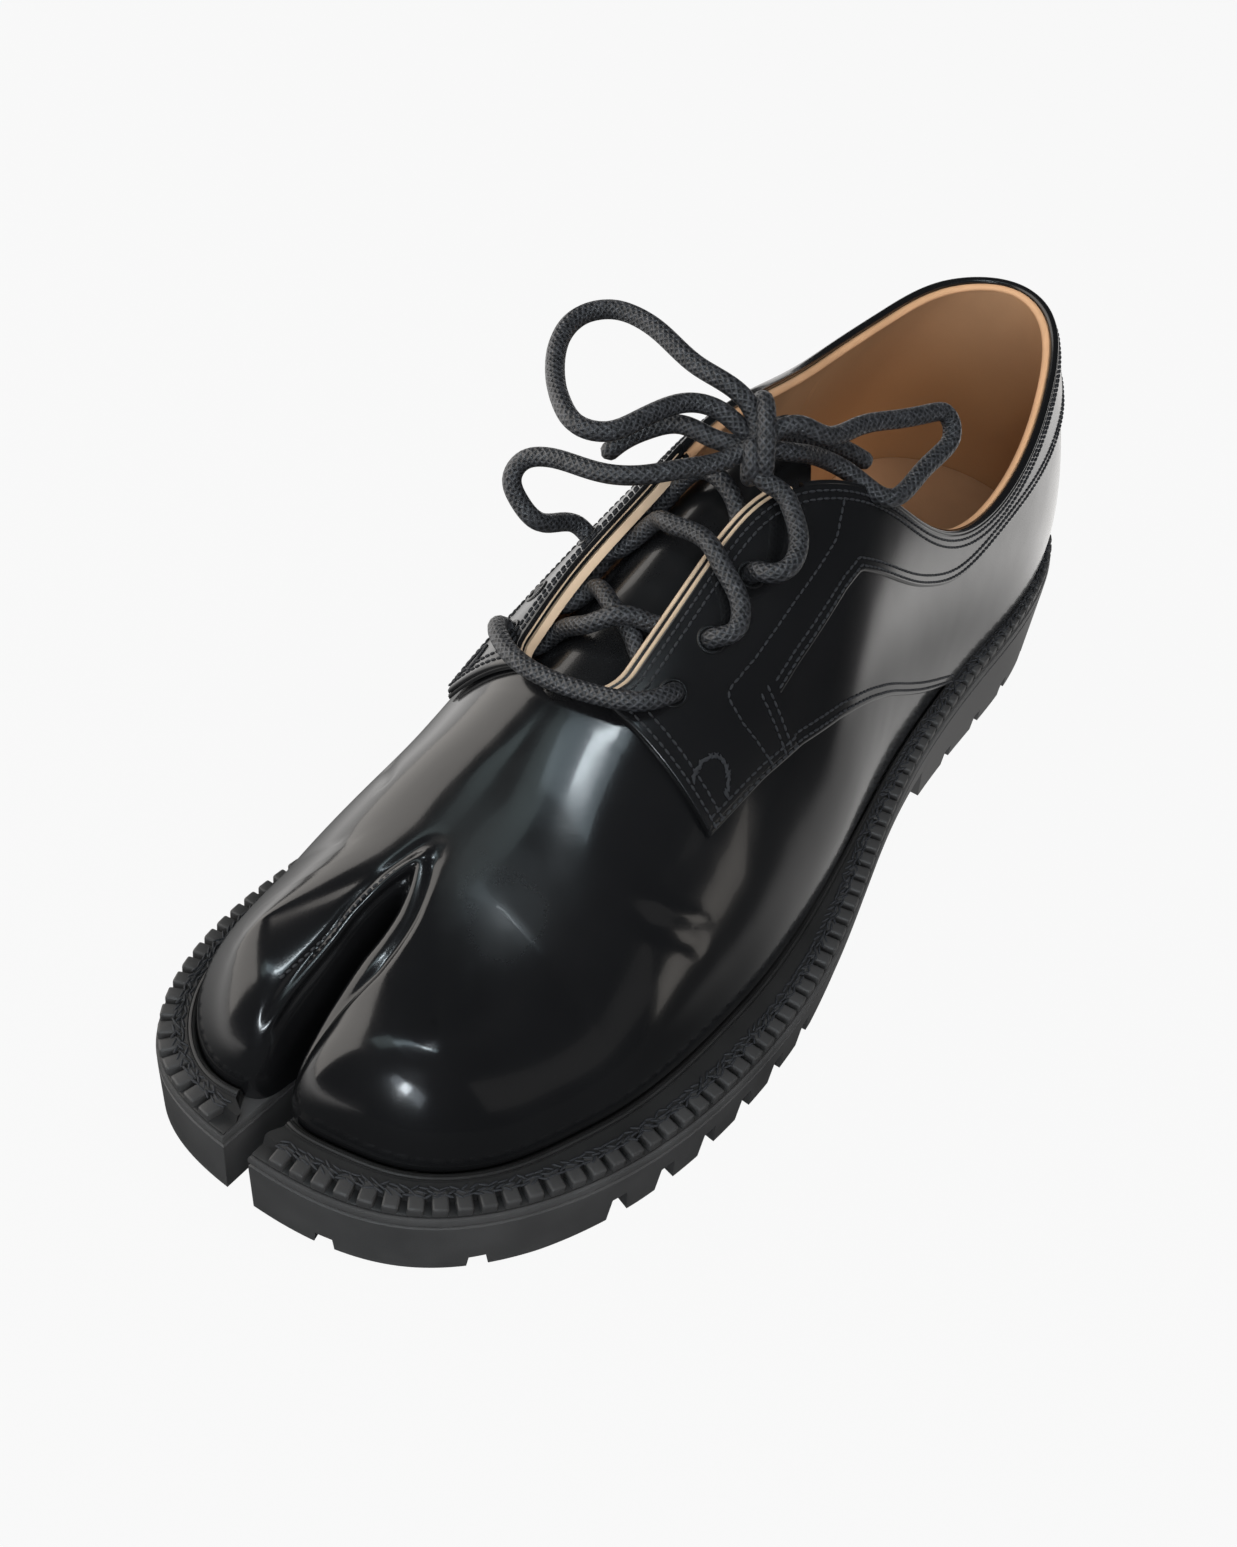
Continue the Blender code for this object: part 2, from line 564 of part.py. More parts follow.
def side_levels(girths, inner):
    """For each column behind the quarter's front edge, its girth and the shares of its rows."""
    low = np.interp(girths, *np.array(QUARTER_EDGE).T)
    band = np.interp(girths, *np.array(FACING_EDGE).T)
    actual = girths
    if inner:
        actual = inner_girth(girths)
        band = band * opening(actual) / opening(girths)
    columns = []
    for girth, bottom, middle, top in zip(actual, low, band, opening(actual)):
        column = last_point(np.full(len(FOOT_SHARES), girth), FOOT_SHARES)
        bottom = max(bottom, np.interp(QUARTER_FOOT, column[:, 2] - column[0, 2], FOOT_SHARES))
        middle = max(middle, bottom + FACING_STEP)
        foot = np.linspace(0.0, bottom, FOOT_ROWS + 1)[:-1]
        lower = np.linspace(bottom, middle, QUARTER_ROWS + 1)[:-1]
        columns.append((girth, np.concatenate((foot, lower, np.linspace(middle, top, FACING_ROWS + 1)))))
    return columns


def upper_columns():
    """Girth and shares of the upper's columns; both sides of each top line meet at the same places."""
    def ridge_y(a):
        return np.maximum(spline(GIRTHS, SECTION_ROWS[:, 2], a, True)[:, 0], TIP_Y)

    def matching(wanted, start, end):
        fine = np.linspace(start, end, 800)
        level = np.minimum.accumulate(ridge_y(fine))
        return np.interp(-np.asarray(wanted), -level, fine)

    outer_vamp = np.linspace(girth_of("throat front"), girth_of("fork"), 5)
    outer_toe = np.linspace(girth_of("fork"), girth_of("lobe corner"), 6)
    outer_front = np.linspace(girth_of("lobe corner"), girth_of("cleft corner"), 6)
    outer_cleft = matching(ridge_y(outer_toe), ROOT_GIRTH, girth_of("cleft corner"))[::-1]
    inner_vamp = matching(ridge_y(outer_vamp), girth_of("throat front", False), girth_of("fork", False))
    inner_toe = np.linspace(girth_of("fork", False), girth_of("lobe corner", False), 6)
    inner_front = np.linspace(girth_of("lobe corner", False), girth_of("cleft corner", False), 5)
    inner_cleft = matching(ridge_y(inner_toe), ROOT_GIRTH, girth_of("cleft corner", False))
    outer = (outer_vamp[:-1], outer_toe[:-1], outer_front[:-1], outer_cleft[:-1])
    inner = (inner_cleft[:-1], inner_front[::-1][:-1], inner_toe[::-1][:-1], inner_vamp[::-1])
    columns = side_levels(rear_girths(), False)
    shares = np.linspace(0.0, 1.0, FOOT_ROWS + QUARTER_ROWS + FACING_ROWS + 1)
    columns += [(girth, shares) for girth in np.concatenate(outer + inner)]
    return columns + side_levels(rear_girths()[:0:-1], True)


def column_girths():
    """Girths of the upper's columns alone."""
    return np.array([girth for girth, _ in upper_columns()])


def build_upper(surface):
    """Hollow upper: the last's skin up to the collar and throat, with a wall of one thickness."""
    bm = bmesh.new()
    columns = []
    for girth, shares in upper_columns():
        columns.append(add_rows(bm, last_point(np.full(len(shares), girth), shares)))
    columns.append(columns[0])
    for near, far in zip(columns, columns[1:]):
        bridge(bm, near, far)
    bmesh.ops.remove_doubles(bm, verts=bm.verts, dist=0.00005)
    bmesh.ops.recalc_face_normals(bm, faces=bm.faces)
    bm.normal_update()
    heel = max(bm.faces, key=lambda face: face.calc_center_median().y)
    if heel.normal.y < 0.0:
        bmesh.ops.reverse_faces(bm, faces=bm.faces)
    bm.normal_update()
    skin = list(bm.faces)
    rim = [edge for edge in bm.edges if edge.is_boundary]
    inside = {vert: vert.co - vert.normal * UPPER_WALL * MM for vert in bm.verts}
    inside = {vert: bm.verts.new(place) for vert, place in inside.items()}
    for face in skin:
        bm.faces.new([inside[vert] for vert in reversed(face.verts)])
    for edge in rim:
        first, second = edge.verts
        bm.faces.new((first, second, inside[second], inside[first]))
    return add_object("upper", bm, surface)


def sole_loop(inset, spacing):
    """Plan loop of the sole with its toe slot, moved inwards by the inset."""
    half = SLOT_WIDTH / 2.0 + inset
    front = SOLE_FINE[:, 1] < TOE_ZONE_Y
    crossings = [SOLE_EDGE[:-1][front][np.argmin(np.abs(SOLE_FINE[front, 0] - x))]
                 for x in (SLOT_CENTRE + half, SLOT_CENTRE - half)]
    total = SOLE_EDGE[-1]
    s = list(np.linspace(crossings[1] - total, crossings[0], int(total / spacing)))
    for y in SOLE_MARKS:
        for side in (SOLE_FINE[:, 0] > 0.0, SOLE_FINE[:, 0] < 0.0):
            place = SOLE_EDGE[:-1][side][np.argmin(np.abs(SOLE_FINE[side, 1] - y))]
            place = place if place < crossings[0] else place - total
            nearest = int(np.argmin(np.abs(np.array(s) - place)))
            s[nearest] = place
    edge = sole_edge(np.sort(np.array(s)), inset)
    turn = np.linspace(0.0, math.pi, 7)
    root = np.stack((SLOT_CENTRE + half * np.cos(turn), SLOT_ROOT_Y + half * np.sin(turn)), axis=1)
    return np.vstack((edge, root))


def cut_with(target, cutter):
    """Take a cutter out of an object and drop the cutter."""
    change = target.modifiers.new("cut", "BOOLEAN")
    change.operation = "DIFFERENCE"
    change.solver = "EXACT"
    change.object = cutter
    cutter.hide_render = True
    cutter.display_type = "WIRE"
    view = bpy.context.evaluated_depsgraph_get()
    mesh = bpy.data.meshes.new_from_object(target.evaluated_get(view))
    target.modifiers.clear()
    target.data = mesh
    mesh.name = target.name
    bpy.data.objects.remove(cutter)


def build_outsole(surface):
    """Unit sole: grooved side, toe slot, arch, heel, and lugs cut by notches round the tread."""
    rows = []
    for inset, depth in SOLE_STEPS:
        loop = sole_loop(inset, SOLE_SPACING)
        under = sole_under(loop[:, 1])
        z = under if depth is None else sole_top(loop[:, 1]) - depth
        rows.append(np.column_stack((loop, z)))
    strips = sorted({*SIDE_Y[1:-1], *np.arange(-132.0, 140.0, 16.0)})
    outsole = plate("outsole", rows, strips, surface)
    bm = bmesh.new()
    for first, last_one, count, reach, height in NOTCHES:
        for s in np.linspace(first, last_one, count):
            here = sole_edge(np.array([s]))[0]
            outward = here - sole_edge(np.array([s]), 1.0)[0]
            centre = here - outward * (reach / 2.0 - 1.5)
            angle = math.atan2(outward[1], outward[0])
            made = bmesh.ops.create_cube(bm, size=1.0)
            bmesh.ops.scale(bm, verts=made["verts"], vec=(reach * MM, NOTCH_WIDTH * MM, 20.0 * MM))
            bmesh.ops.rotate(bm, verts=made["verts"], cent=(0.0, 0.0, 0.0),
                             matrix=Matrix.Rotation(angle, 3, "Z"))
            top = sole_under(np.array([here[1]]))[0] + height
            bmesh.ops.translate(bm, verts=made["verts"], vec=Vector((*centre, top - 10.0)) * MM)
    cut_with(outsole, add_object("notches", bm, surface))
    return outsole


def build_welt(surface):
    """Toothed welt with a raised bead against the upper, open at the toe slot."""
    start = girth_of("cleft corner", False) - GIRTHS[-1] - 0.1
    end = girth_of("cleft corner") + 0.1
    girths = np.concatenate((column_girths(), column_girths() - GIRTHS[-1]))
    girths = np.sort(girths[(girths > start) & (girths < end)])
    half = SLOT_WIDTH / 2.0 + 0.4
    front = SOLE_FINE[:, 1] < TOE_ZONE_Y
    ends = [SOLE_EDGE[:-1][front][np.argmin(np.abs(SOLE_FINE[front, 0] - x))]
            for x in (SLOT_CENTRE - half, SLOT_CENTRE + half)]
    ends[0] -= SOLE_EDGE[-1]
    teeth = int(round((ends[1] - ends[0]) / TOOTH_PITCH))
    pitch = (ends[1] - ends[0]) / (teeth - 1 + TOOTH_SHARE)
    begins = ends[0] + pitch * np.arange(teeth)
    s = np.sort(np.concatenate((begins, begins + pitch * TOOTH_SHARE)))
    edge = sole_edge(s, WELT_INSET)
    root = tooth_root(s)

    def at(plan, height):
        return np.column_stack((plan, sole_top(plan[:, 1]) + GAP + height))

    bm = bmesh.new()
    edge_foot = add_rows(bm, at(edge, 0.0))
    edge_top = add_rows(bm, at(edge, WELT_HEIGHT - 0.4))
    root_floor = add_rows(bm, at(root, WELT_BASE))
    root_top = add_rows(bm, at(root, WELT_HEIGHT))
    bead = []
    share = bead_share(foot_line(girths, 0.0)[:, 1])
    for out, height in WELT_BEAD:
        rise = min(height, WELT_HEIGHT) + max(height - WELT_HEIGHT, 0.0) * share
        line = foot_line(girths, np.minimum(rise, BEAD_CLEAR), GAP + out * share)
        bead.append(add_rows(bm, at(line[:, :2], rise)))
    for i in range(0, len(s) - 1):
        if i % 2 == 0:
            bm.faces.new((edge_foot[i], edge_foot[i + 1], edge_top[i + 1], edge_top[i]))
            bm.faces.new((edge_top[i], edge_top[i + 1], root_top[i + 1], root_top[i]))
        else:
            bm.faces.new((edge_foot[i], edge_foot[i + 1], root_floor[i + 1], root_floor[i]))
            bm.faces.new((root_floor[i], root_floor[i + 1], root_top[i + 1], root_top[i]))
    for i in range(1, len(s) - 1):
        bm.faces.new((edge_foot[i], edge_top[i], root_top[i], root_floor[i]))
    zip_rows(bm, root_top, bead[-1])
    for near, far in zip(bead[1:], bead):
        bridge(bm, near, far)
    zip_rows(bm, bead[0], edge_foot)
    for i in (0, -1):
        bm.faces.new([edge_foot[i], edge_top[i], root_top[i]] + [row[i] for row in bead[::-1]])
    loose = [vert for vert in bm.verts if not vert.link_faces]
    bmesh.ops.delete(bm, geom=loose, context="VERTS")
    return add_object("welt", bm, surface)


def build_side(side, inner, quarter_surface, facing_surface):
    """Quarter of one side, and over its upper part the facing with the collar band."""
    girths = rear_girths()
    girths[0] = 0.2
    if inner:
        girths = girths[::-1]
    quarter_under = []
    quarter_over = []
    facing_under = []
    facing_over = []
    facing_lift = 2.0 * GAP + QUARTER_WALL
    for girth, levels in side_levels(girths, inner):
        t = levels[FOOT_ROWS:]
        rest = t[QUARTER_ROWS:]
        quarter_under.append(last_lifted(np.full(len(t), girth), t, GAP))
        quarter_over.append(last_lifted(np.full(len(t), girth), t, GAP + QUARTER_WALL))
        facing_under.append(last_lifted(np.full(len(rest), girth), rest, facing_lift))
        facing_over.append(last_lifted(np.full(len(rest), girth), rest, facing_lift + FACING_WALL))
    slab("quarter_" + side, quarter_under, quarter_over, quarter_surface)
    slab("facing_" + side, facing_under, facing_over, facing_surface)


def girth_at(ridge_y, outer):
    """Girth of one side whose section meets the top line at the place given."""
    if outer:
        fine = np.linspace(0.0, girth_of("fork"), 1200)
    else:
        fine = np.linspace(GIRTHS[-1], girth_of("fork", False), 1200)
    level = np.minimum.accumulate(spline(GIRTHS, SECTION_ROWS[:, 2], fine, True)[:, 0])
    return np.interp(-np.atleast_1d(ridge_y), -level, fine)


def across_throat(ridge_y, outer_share, inner_share, lift, count):
    """Points across the top line at one place, from a share on the outer side to one on the inner side."""
    outer_t = np.linspace(outer_share, 1.0, count)
    inner_t = np.linspace(1.0, inner_share, count)
    outer_row = last_lifted(np.full(count, girth_at(ridge_y, True)[0]), outer_t, lift)
    inner_row = last_lifted(np.full(count, girth_at(ridge_y, False)[0]), inner_t, lift)
    middle = (outer_row[-1:] + inner_row[:1]) / 2.0
    return np.vstack((outer_row[:-1], middle, inner_row[1:]))


def build_tongue(surface):
    """Tongue under the facings, from beneath the vamp to above the facings' tops."""
    places = np.linspace(TONGUE[0][0], TONGUE[-1][0], 12)
    rows = np.array(TONGUE)
    depth, outer_share, inner_share = (np.interp(places, rows[:, 0], rows[:, k]) for k in (1, 2, 3))
    over = []
    under = []
    for y, d, outer_t, inner_t in zip(places, depth, outer_share, inner_share):
        over.append(across_throat(y, outer_t, inner_t, -d, 5))
        under.append(across_throat(y, outer_t, inner_t, -d - TONGUE_WALL, 5))
    return slab("tongue", under, over, surface)


def build_insole(surface):
    """Insole on the sole, just clear of the upper's inside."""
    loop = foot_line(column_girths(), 0.0, -UPPER_WALL - GAP - 0.2)[:, :2]
    floor = sole_top(loop[:, 1]) + GAP
    rows = [np.column_stack((loop, floor)), np.column_stack((loop, floor + INSOLE_THICKNESS))]
    return plate("insole", rows, np.arange(-128.0, 136.0, 16.0), surface)


def cord(name, route, surface):
    """Round cord along a smooth curve through the points of its route."""
    knots = chord_knots(route)
    count = max(4, int(knots[-1] / (LACE_DIAMETER * CORD_STEP)))
    points = spline(knots, route, np.linspace(0.0, knots[-1], count + 1))
    curve = bpy.data.curves.new(name, "CURVE")
    curve.dimensions = "3D"
    curve.bevel_depth = LACE_DIAMETER / 2.0 * MM
    curve.bevel_resolution = 2
    curve.use_fill_caps = True
    line = curve.splines.new("POLY")
    line.points.add(len(points) - 1)
    for place, point in zip(line.points, points):
        place.co = (*(point * MM), 1.0)
    curve.materials.append(surface)
    made = bpy.data.objects.new(name, curve)
    bpy.context.collection.objects.link(made)
    return made


def strand_end(end):
    """Two points where a strand leaves an eyelet or the knot, from the face outwards."""
    if end is None:
        return np.empty((0, 3))
    if isinstance(end, str):
        girth, share = EYELETS[end]
        lifts = (FACING_FACE + 1.5 * GAP, FACING_FACE + 1.6 * LACE_DIAMETER)
        return np.vstack([last_lifted([girth], [share], lift) for lift in lifts])
    direction = np.array(end) / np.linalg.norm(end)
    reach = 1.0 / np.linalg.norm(direction / np.array(KNOT_RADII)) + GAP
    return np.array(KNOT_CENTRE) + np.outer((reach, reach + LACE_DIAMETER * CORD_STEP), direction)


def solid_cord(name, route, surface):
    """The same cord as a mesh."""
    line = cord(name + "_line", route, surface)
    view = bpy.context.evaluated_depsgraph_get()
    mesh = bpy.data.meshes.new_from_object(line.evaluated_get(view))
    bpy.data.objects.remove(line)
    bm = bmesh.new()
    bm.from_mesh(mesh)
    bmesh.ops.remove_doubles(bm, verts=bm.verts, dist=0.00001)
    return add_object(name, bm, surface)


def join(target, other):
    """Join a second solid to an object and drop it."""
    change = target.modifiers.new("join", "BOOLEAN")
    change.operation = "UNION"
    change.solver = "EXACT"
    change.object = other
    view = bpy.context.evaluated_depsgraph_get()
    mesh = bpy.data.meshes.new_from_object(target.evaluated_get(view))
    target.modifiers.clear()
    target.data = mesh
    mesh.name = target.name
    bpy.data.objects.remove(other)


def build_crossing(name, low, high, lift, surface):
    """Two strands that cross over the tongue, inside the throat."""
    middle = (low + high) / 2.0
    strands = []
    for start, end in ((low, high), (high, low)):
        near_outer, outer, inner, near_inner = CROSSING_SHARES
        route = [last_lifted(girth_at(start, True), [near_outer], lift)[0],
                 last_lifted(girth_at((start + middle) / 2.0, True), [outer], lift)[0],
                 across_throat(middle, 0.9, 0.9, lift, 3)[2],
                 last_lifted(girth_at((end + middle) / 2.0, False), [inner], lift)[0],
                 last_lifted(girth_at(end, False), [near_inner], lift)[0]]
        strands.append(np.array(route))
    first = solid_cord(name, strands[0], surface)
    second = solid_cord(name + "_second", strands[1], surface)
    join(first, second)
    return first


def build_knot(surface):
    """Knot of the bow as one rounded solid."""
    bm = bmesh.new()
    bmesh.ops.create_uvsphere(bm, u_segments=12, v_segments=8, radius=1.0)
    bmesh.ops.scale(bm, verts=bm.verts, vec=Vector(KNOT_RADII) * MM)
    bmesh.ops.translate(bm, verts=bm.verts, vec=Vector(KNOT_CENTRE) * MM)
    return add_object("lace_knot", bm, surface)


def main():
    """Build every piece of the shoe."""
    for old in list(bpy.data.objects):
        bpy.data.objects.remove(old)
    rubber = material("sole_rubber", (0.02, 0.02, 0.021), 0.55)
    welt_rubber = material("welt_rubber", (0.025, 0.025, 0.026), 0.5)
    vamp_leather = material("upper_leather", (0.012, 0.012, 0.013), 0.12)
    quarter_leather = material("quarter_leather", (0.014, 0.014, 0.015), 0.14)
    facing_leather = material("facing_leather", (0.016, 0.016, 0.017), 0.14)
    tongue_leather = material("tongue_leather", (0.02, 0.02, 0.021), 0.2)
    lining = material("insole_leather", (0.48, 0.3, 0.17), 0.6)
    waxed = material("lace_cotton", (0.03, 0.03, 0.032), 0.5)

    build_outsole(rubber)
    build_welt(welt_rubber)
    build_upper(vamp_leather)
    build_insole(lining)
    build_tongue(tongue_leather)
    build_side("outer", False, quarter_leather, facing_leather)
    build_side("inner", True, quarter_leather, facing_leather)
    for name, low, high, lift in LACE_CROSSINGS:
        build_crossing(name, low, high, lift, waxed)
    solid_cord("lace_bar_low", np.array(LACE_BAR), waxed)
    for name, start, end, places in LACE_STRANDS:
        cord(name, np.vstack((strand_end(start), places, strand_end(end)[::-1])), waxed)
    build_knot(waxed)


main()
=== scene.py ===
"""Looks of a split toe lace-up shoe: polished leather, tan lining, lugged sole, toothed welt, lace and bow.

Every piece follows the same last as the shoe's solids. Tables are in millimetres; the panel's sizes are in
metres.
"""

import math

import bmesh
import bpy
import numpy as np
from bpy.props import FloatProperty, FloatVectorProperty, PointerProperty
from mathutils import Matrix, Vector


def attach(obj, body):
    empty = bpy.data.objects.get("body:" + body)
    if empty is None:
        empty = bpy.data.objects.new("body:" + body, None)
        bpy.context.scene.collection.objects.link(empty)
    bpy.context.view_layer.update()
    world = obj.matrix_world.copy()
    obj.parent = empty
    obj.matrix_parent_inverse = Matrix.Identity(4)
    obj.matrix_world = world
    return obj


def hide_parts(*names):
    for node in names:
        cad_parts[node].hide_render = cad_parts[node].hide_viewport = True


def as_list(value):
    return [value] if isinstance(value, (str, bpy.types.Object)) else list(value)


bl_info = {
    "name": "Split toe lace-up shoe",
    "version": (1, 0, 0),
    "blender": (4, 5, 0),
    "location": "3D View > Sidebar > Shoe",
    "description": "Dresses the solids of a split toe lace-up shoe and stands it in a small studio",
    "category": "Object",
}

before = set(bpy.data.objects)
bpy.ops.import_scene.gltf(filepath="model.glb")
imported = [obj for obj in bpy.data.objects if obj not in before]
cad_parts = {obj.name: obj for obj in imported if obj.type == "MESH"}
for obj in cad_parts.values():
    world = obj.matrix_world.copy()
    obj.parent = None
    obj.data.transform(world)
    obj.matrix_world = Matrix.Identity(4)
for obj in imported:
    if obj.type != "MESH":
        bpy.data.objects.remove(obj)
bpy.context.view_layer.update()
BODY = "root"
MM = 0.001
GAP = 0.3
MERGE = 0.000002
UPWARD = (0.0, 0.0, 1.0)

# Plan of the sole, heel first, round the outer side
SOLE_PLAN = (
    # place, x, y
    ("heel back", 0.0, 144.0),
    ("outer heel corner", 26.2, 133.8),
    ("outer heel", 39.2, 105.0),
    ("outer heel front", 40.8, 65.0),
    ("outer waist", 43.2, 20.0),
    ("outer ball rear", 53.0, -30.0),
    ("outer ball", 53.6, -70.0),
    ("little toe", 44.4, -107.5),
    ("outer toe corner", 20.5, -137.6),
    ("toe front", -10.5, -144.0),
    ("inner toe corner", -36.0, -138.0),
    ("big toe", -51.6, -106.5),
    ("inner ball", -50.6, -70.0),
    ("inner ball rear", -44.0, -20.0),
    ("inner waist", -34.6, 25.0),
    ("inner heel front", -34.2, 65.0),
    ("inner heel", -36.0, 105.0),
    ("inner heel corner", -25.8, 134.2),
)
SHOE_LENGTH = 288.0

# Side view of the sole: heights of its upper face and of its underside
SOLE_SIDE = (
    # place, y, top, under
    ("toe tip", -145.0, 20.2, 3.8),
    ("toe", -118.0, 17.0, 0.9),
    ("tread front", -98.0, 15.2, 0.0),
    ("ball", -55.0, 14.0, 0.0),
    ("tread end", -38.0, 14.1, 0.0),
    ("waist front", -26.0, 14.7, 4.6),
    ("waist", 6.0, 17.2, 8.6),
    ("heel breast top", 37.0, 20.4, 10.6),
    ("heel breast foot", 40.0, 20.7, 0.0),
    ("heel", 92.0, 24.0, 0.0),
    ("heel back", 145.0, 25.0, 0.0),
)
BREAST_MARKS = (36.9, 40.1, -26.0, -38.0)

# Slot in the front of the sole
SLOT_CENTRE = -12.5
SLOT_WIDTH = 6.0
SLOT_ROOT_Y = -108.0
TOE_Y = -120.0

# Side of the sole: inset from its edge, whether it is measured from the tread or the top, and the height
SOLE_PROFILE = (
    (0.3, "tread", 0.0),
    (0.0, "top", -3.2),
    (0.0, "top", -2.85),
    (0.25, "top", -2.65),
    (0.7, "top", -2.45),
    (0.7, "top", -2.15),
    (0.25, "top", -1.95),
    (0.0, "top", -1.75),
    (0.0, "top", -0.7),
    (0.2, "top", -0.2),
    (0.8, "top", 0.0),
)
SOLE_SPACING = 1.6
SOLE_CUTS = np.arange(-132.0, 140.0, 8.0)
SOLE_BEVEL = 0.6

# Notches that part the lugs: first and last place along the sole's edge, number, reach from the edge, height
NOTCH_WIDTH = 3.4
NOTCH_FLARE = 2.4
NOTCHES = (
    (42.0, 110.0, 5, 12.0, 4.0),
    (210.0, 270.5, 6, 13.0, 6.4),
    (300.0, 329.0, 2, 7.0, 3.0),
    (400.0, 492.0, 8, 13.0, 6.4),
    (573.0, 641.0, 5, 12.0, 4.0),
)

# Channels across the tread: first and last y, number, width, depth and length
TREAD_CHANNELS = (
    (-104.0, -48.0, 7, 2.6, 2.2, 54.0),
    (56.0, 122.0, 6, 2.6, 2.2, 40.0),
)

# Section of the welt's bead: distance from the upper and height above the sole. The bead fades from the
# first place behind the ball to the second one, to a share of its size
WELT_BEAD = (
    (0.0, 0.0), (0.0, 3.0), (0.12, 3.4), (0.4, 3.7), (0.62, 3.78), (0.74, 3.58), (0.86, 3.78), (1.15, 3.72),
    (1.42, 3.55), (1.54, 3.3), (1.68, 3.4), (1.86, 3.15), (2.0, 2.75),
)
BEAD_FADE = (-25.0, 35.0, 0.25)
BEAD_CLEAR = 3.8
WELT_INSET = 0.5
WELT_SEAT = 0.6
WELT_HEIGHT = 2.6
WELT_FLOOR = 0.55

# Rest of the welt's section, outwards from the bead: inset past the root of the teeth, or past the welt's
# own edge, and height above the sole
WELT_LEDGE = (
    (0.3, WELT_HEIGHT - 0.05), (-0.6, WELT_HEIGHT - 0.15), (-1.0, WELT_FLOOR + 0.5), (-1.2, WELT_FLOOR),
)
WELT_RIM = ((0.2, WELT_FLOOR), (0.0, WELT_FLOOR - 0.2), (0.0, 0.0))
TOOTH_SINK = 0.3
THREAD_ROWS = (0.4, -0.5, -1.3)

# Top line of the last, from the comb over the heel to the toe tips. It forks in front of FORK_Y
RIDGE = (
    # place, y, x, z
    ("comb rear", 124.0, 0.0, 110.0),
    ("comb", 100.0, 0.0, 111.5),
    ("ankle", 64.0, 1.0, 116.0),
    ("instep top", 28.0, 1.0, 115.5),
    ("instep", 4.0, -0.5, 108.5),
    ("facing top", -12.0, -1.5, 101.0),
    ("lacing", -32.0, -3.0, 92.0),
    ("throat", -50.0, -4.0, 83.0),
    ("throat front", -62.0, -5.0, 76.0),
    ("vamp", -72.0, -6.5, 69.0),
    ("vamp front", -82.0, -8.5, 61.5),
    ("toe box", -98.0, -11.0, 51.5),
    ("toe tip", -114.0, -12.0, 45.0),
)
FORK_Y = -90.0
TIP_Y = -114.0
OUTER_LOBE_SPREAD = 22.0
INNER_LOBE_SPREAD = -17.5

# Sections of the last, one row each: where it meets the sole, where it meets the top line, its belly
# above the sole, how square its shoulder is, its crown, the share where the opening cuts it, and how far
# its foot is tucked under
OUTER_SECTIONS = (
    # place, foot x, foot y, ridge y, belly, square, crown, opening, tuck
    ("heel seam", 0.0, 136.6, 124.0, 2.4, 1.6, 0.0, 0.595, 0.0),
    ("heel corner", 21.8, 127.6, 118.0, 2.4, 1.6, 0.0, 0.58, -1.0),
    ("heel side", 32.0, 103.6, 102.0, 2.4, 1.65, 0.0, 0.50, -1.6),
    ("ankle", 33.2, 65.0, 65.0, 2.4, 1.95, 0.0, 0.345, -1.4),
    ("waist", 35.8, 19.0, 24.0, 2.2, 1.9, 0.02, 0.53, -0.2),
    ("collar front", 40.2, -5.0, 2.0, 2.4, 2.1, 0.1, 0.755, 1.6),
    ("facing top", 43.4, -20.0, -11.0, 2.8, 2.2, 0.2, 0.865, 3.6),
    ("facing", 45.4, -38.0, -31.0, 3.0, 2.25, 0.3, 0.877, 4.4),
    ("facing foot", 46.0, -54.0, -51.0, 3.0, 2.3, 0.32, 0.87, 5.0),
    ("throat front", 45.6, -64.0, -62.0, 3.0, 2.3, 0.35, 1.0, 5.4),
    ("vamp", 44.6, -76.0, -71.0, 2.8, 2.35, 0.35, 1.0, 5.6),
    ("vamp front", 42.2, -90.0, -82.0, 2.6, 2.4, 0.35, 1.0, 5.8),
    ("fork", 40.0, -96.6, -90.0, 2.5, 2.4, 0.35, 1.0, 5.5),
    ("toe side", 36.6, -104.0, -98.0, 2.4, 2.4, 0.35, 1.0, 4.8),
    ("lobe tip", 27.6, -120.0, -111.0, 2.2, 2.4, 0.35, 1.0, 3.4),
    ("lobe corner", 15.6, -130.2, -114.0, 2.0, 2.4, 0.35, 1.0, 2.6),
    ("lobe front", 3.0, -134.4, -114.0, 1.6, 2.5, 0.33, 1.0, 2.9),
    ("cleft corner", -8.6, -133.2, -114.0, 0.6, 3.0, 0.3, 1.0, 1.0),
    ("cleft mouth", -10.4, -126.4, -111.0, 0.0, 4.5, 0.27, 1.0, 0.0),
    ("cleft", -10.8, -114.0, -101.5, 0.0, 6.0, 0.24, 1.0, 0.0),
    ("cleft end", -11.2, -101.0, -94.5, 0.0, 6.0, 0.24, 1.0, 0.0),
)
CLEFT_ROOT = ("cleft root", -12.3, -96.2, -90.0, 0.0, 6.0, 0.24, 1.0, 0.0)
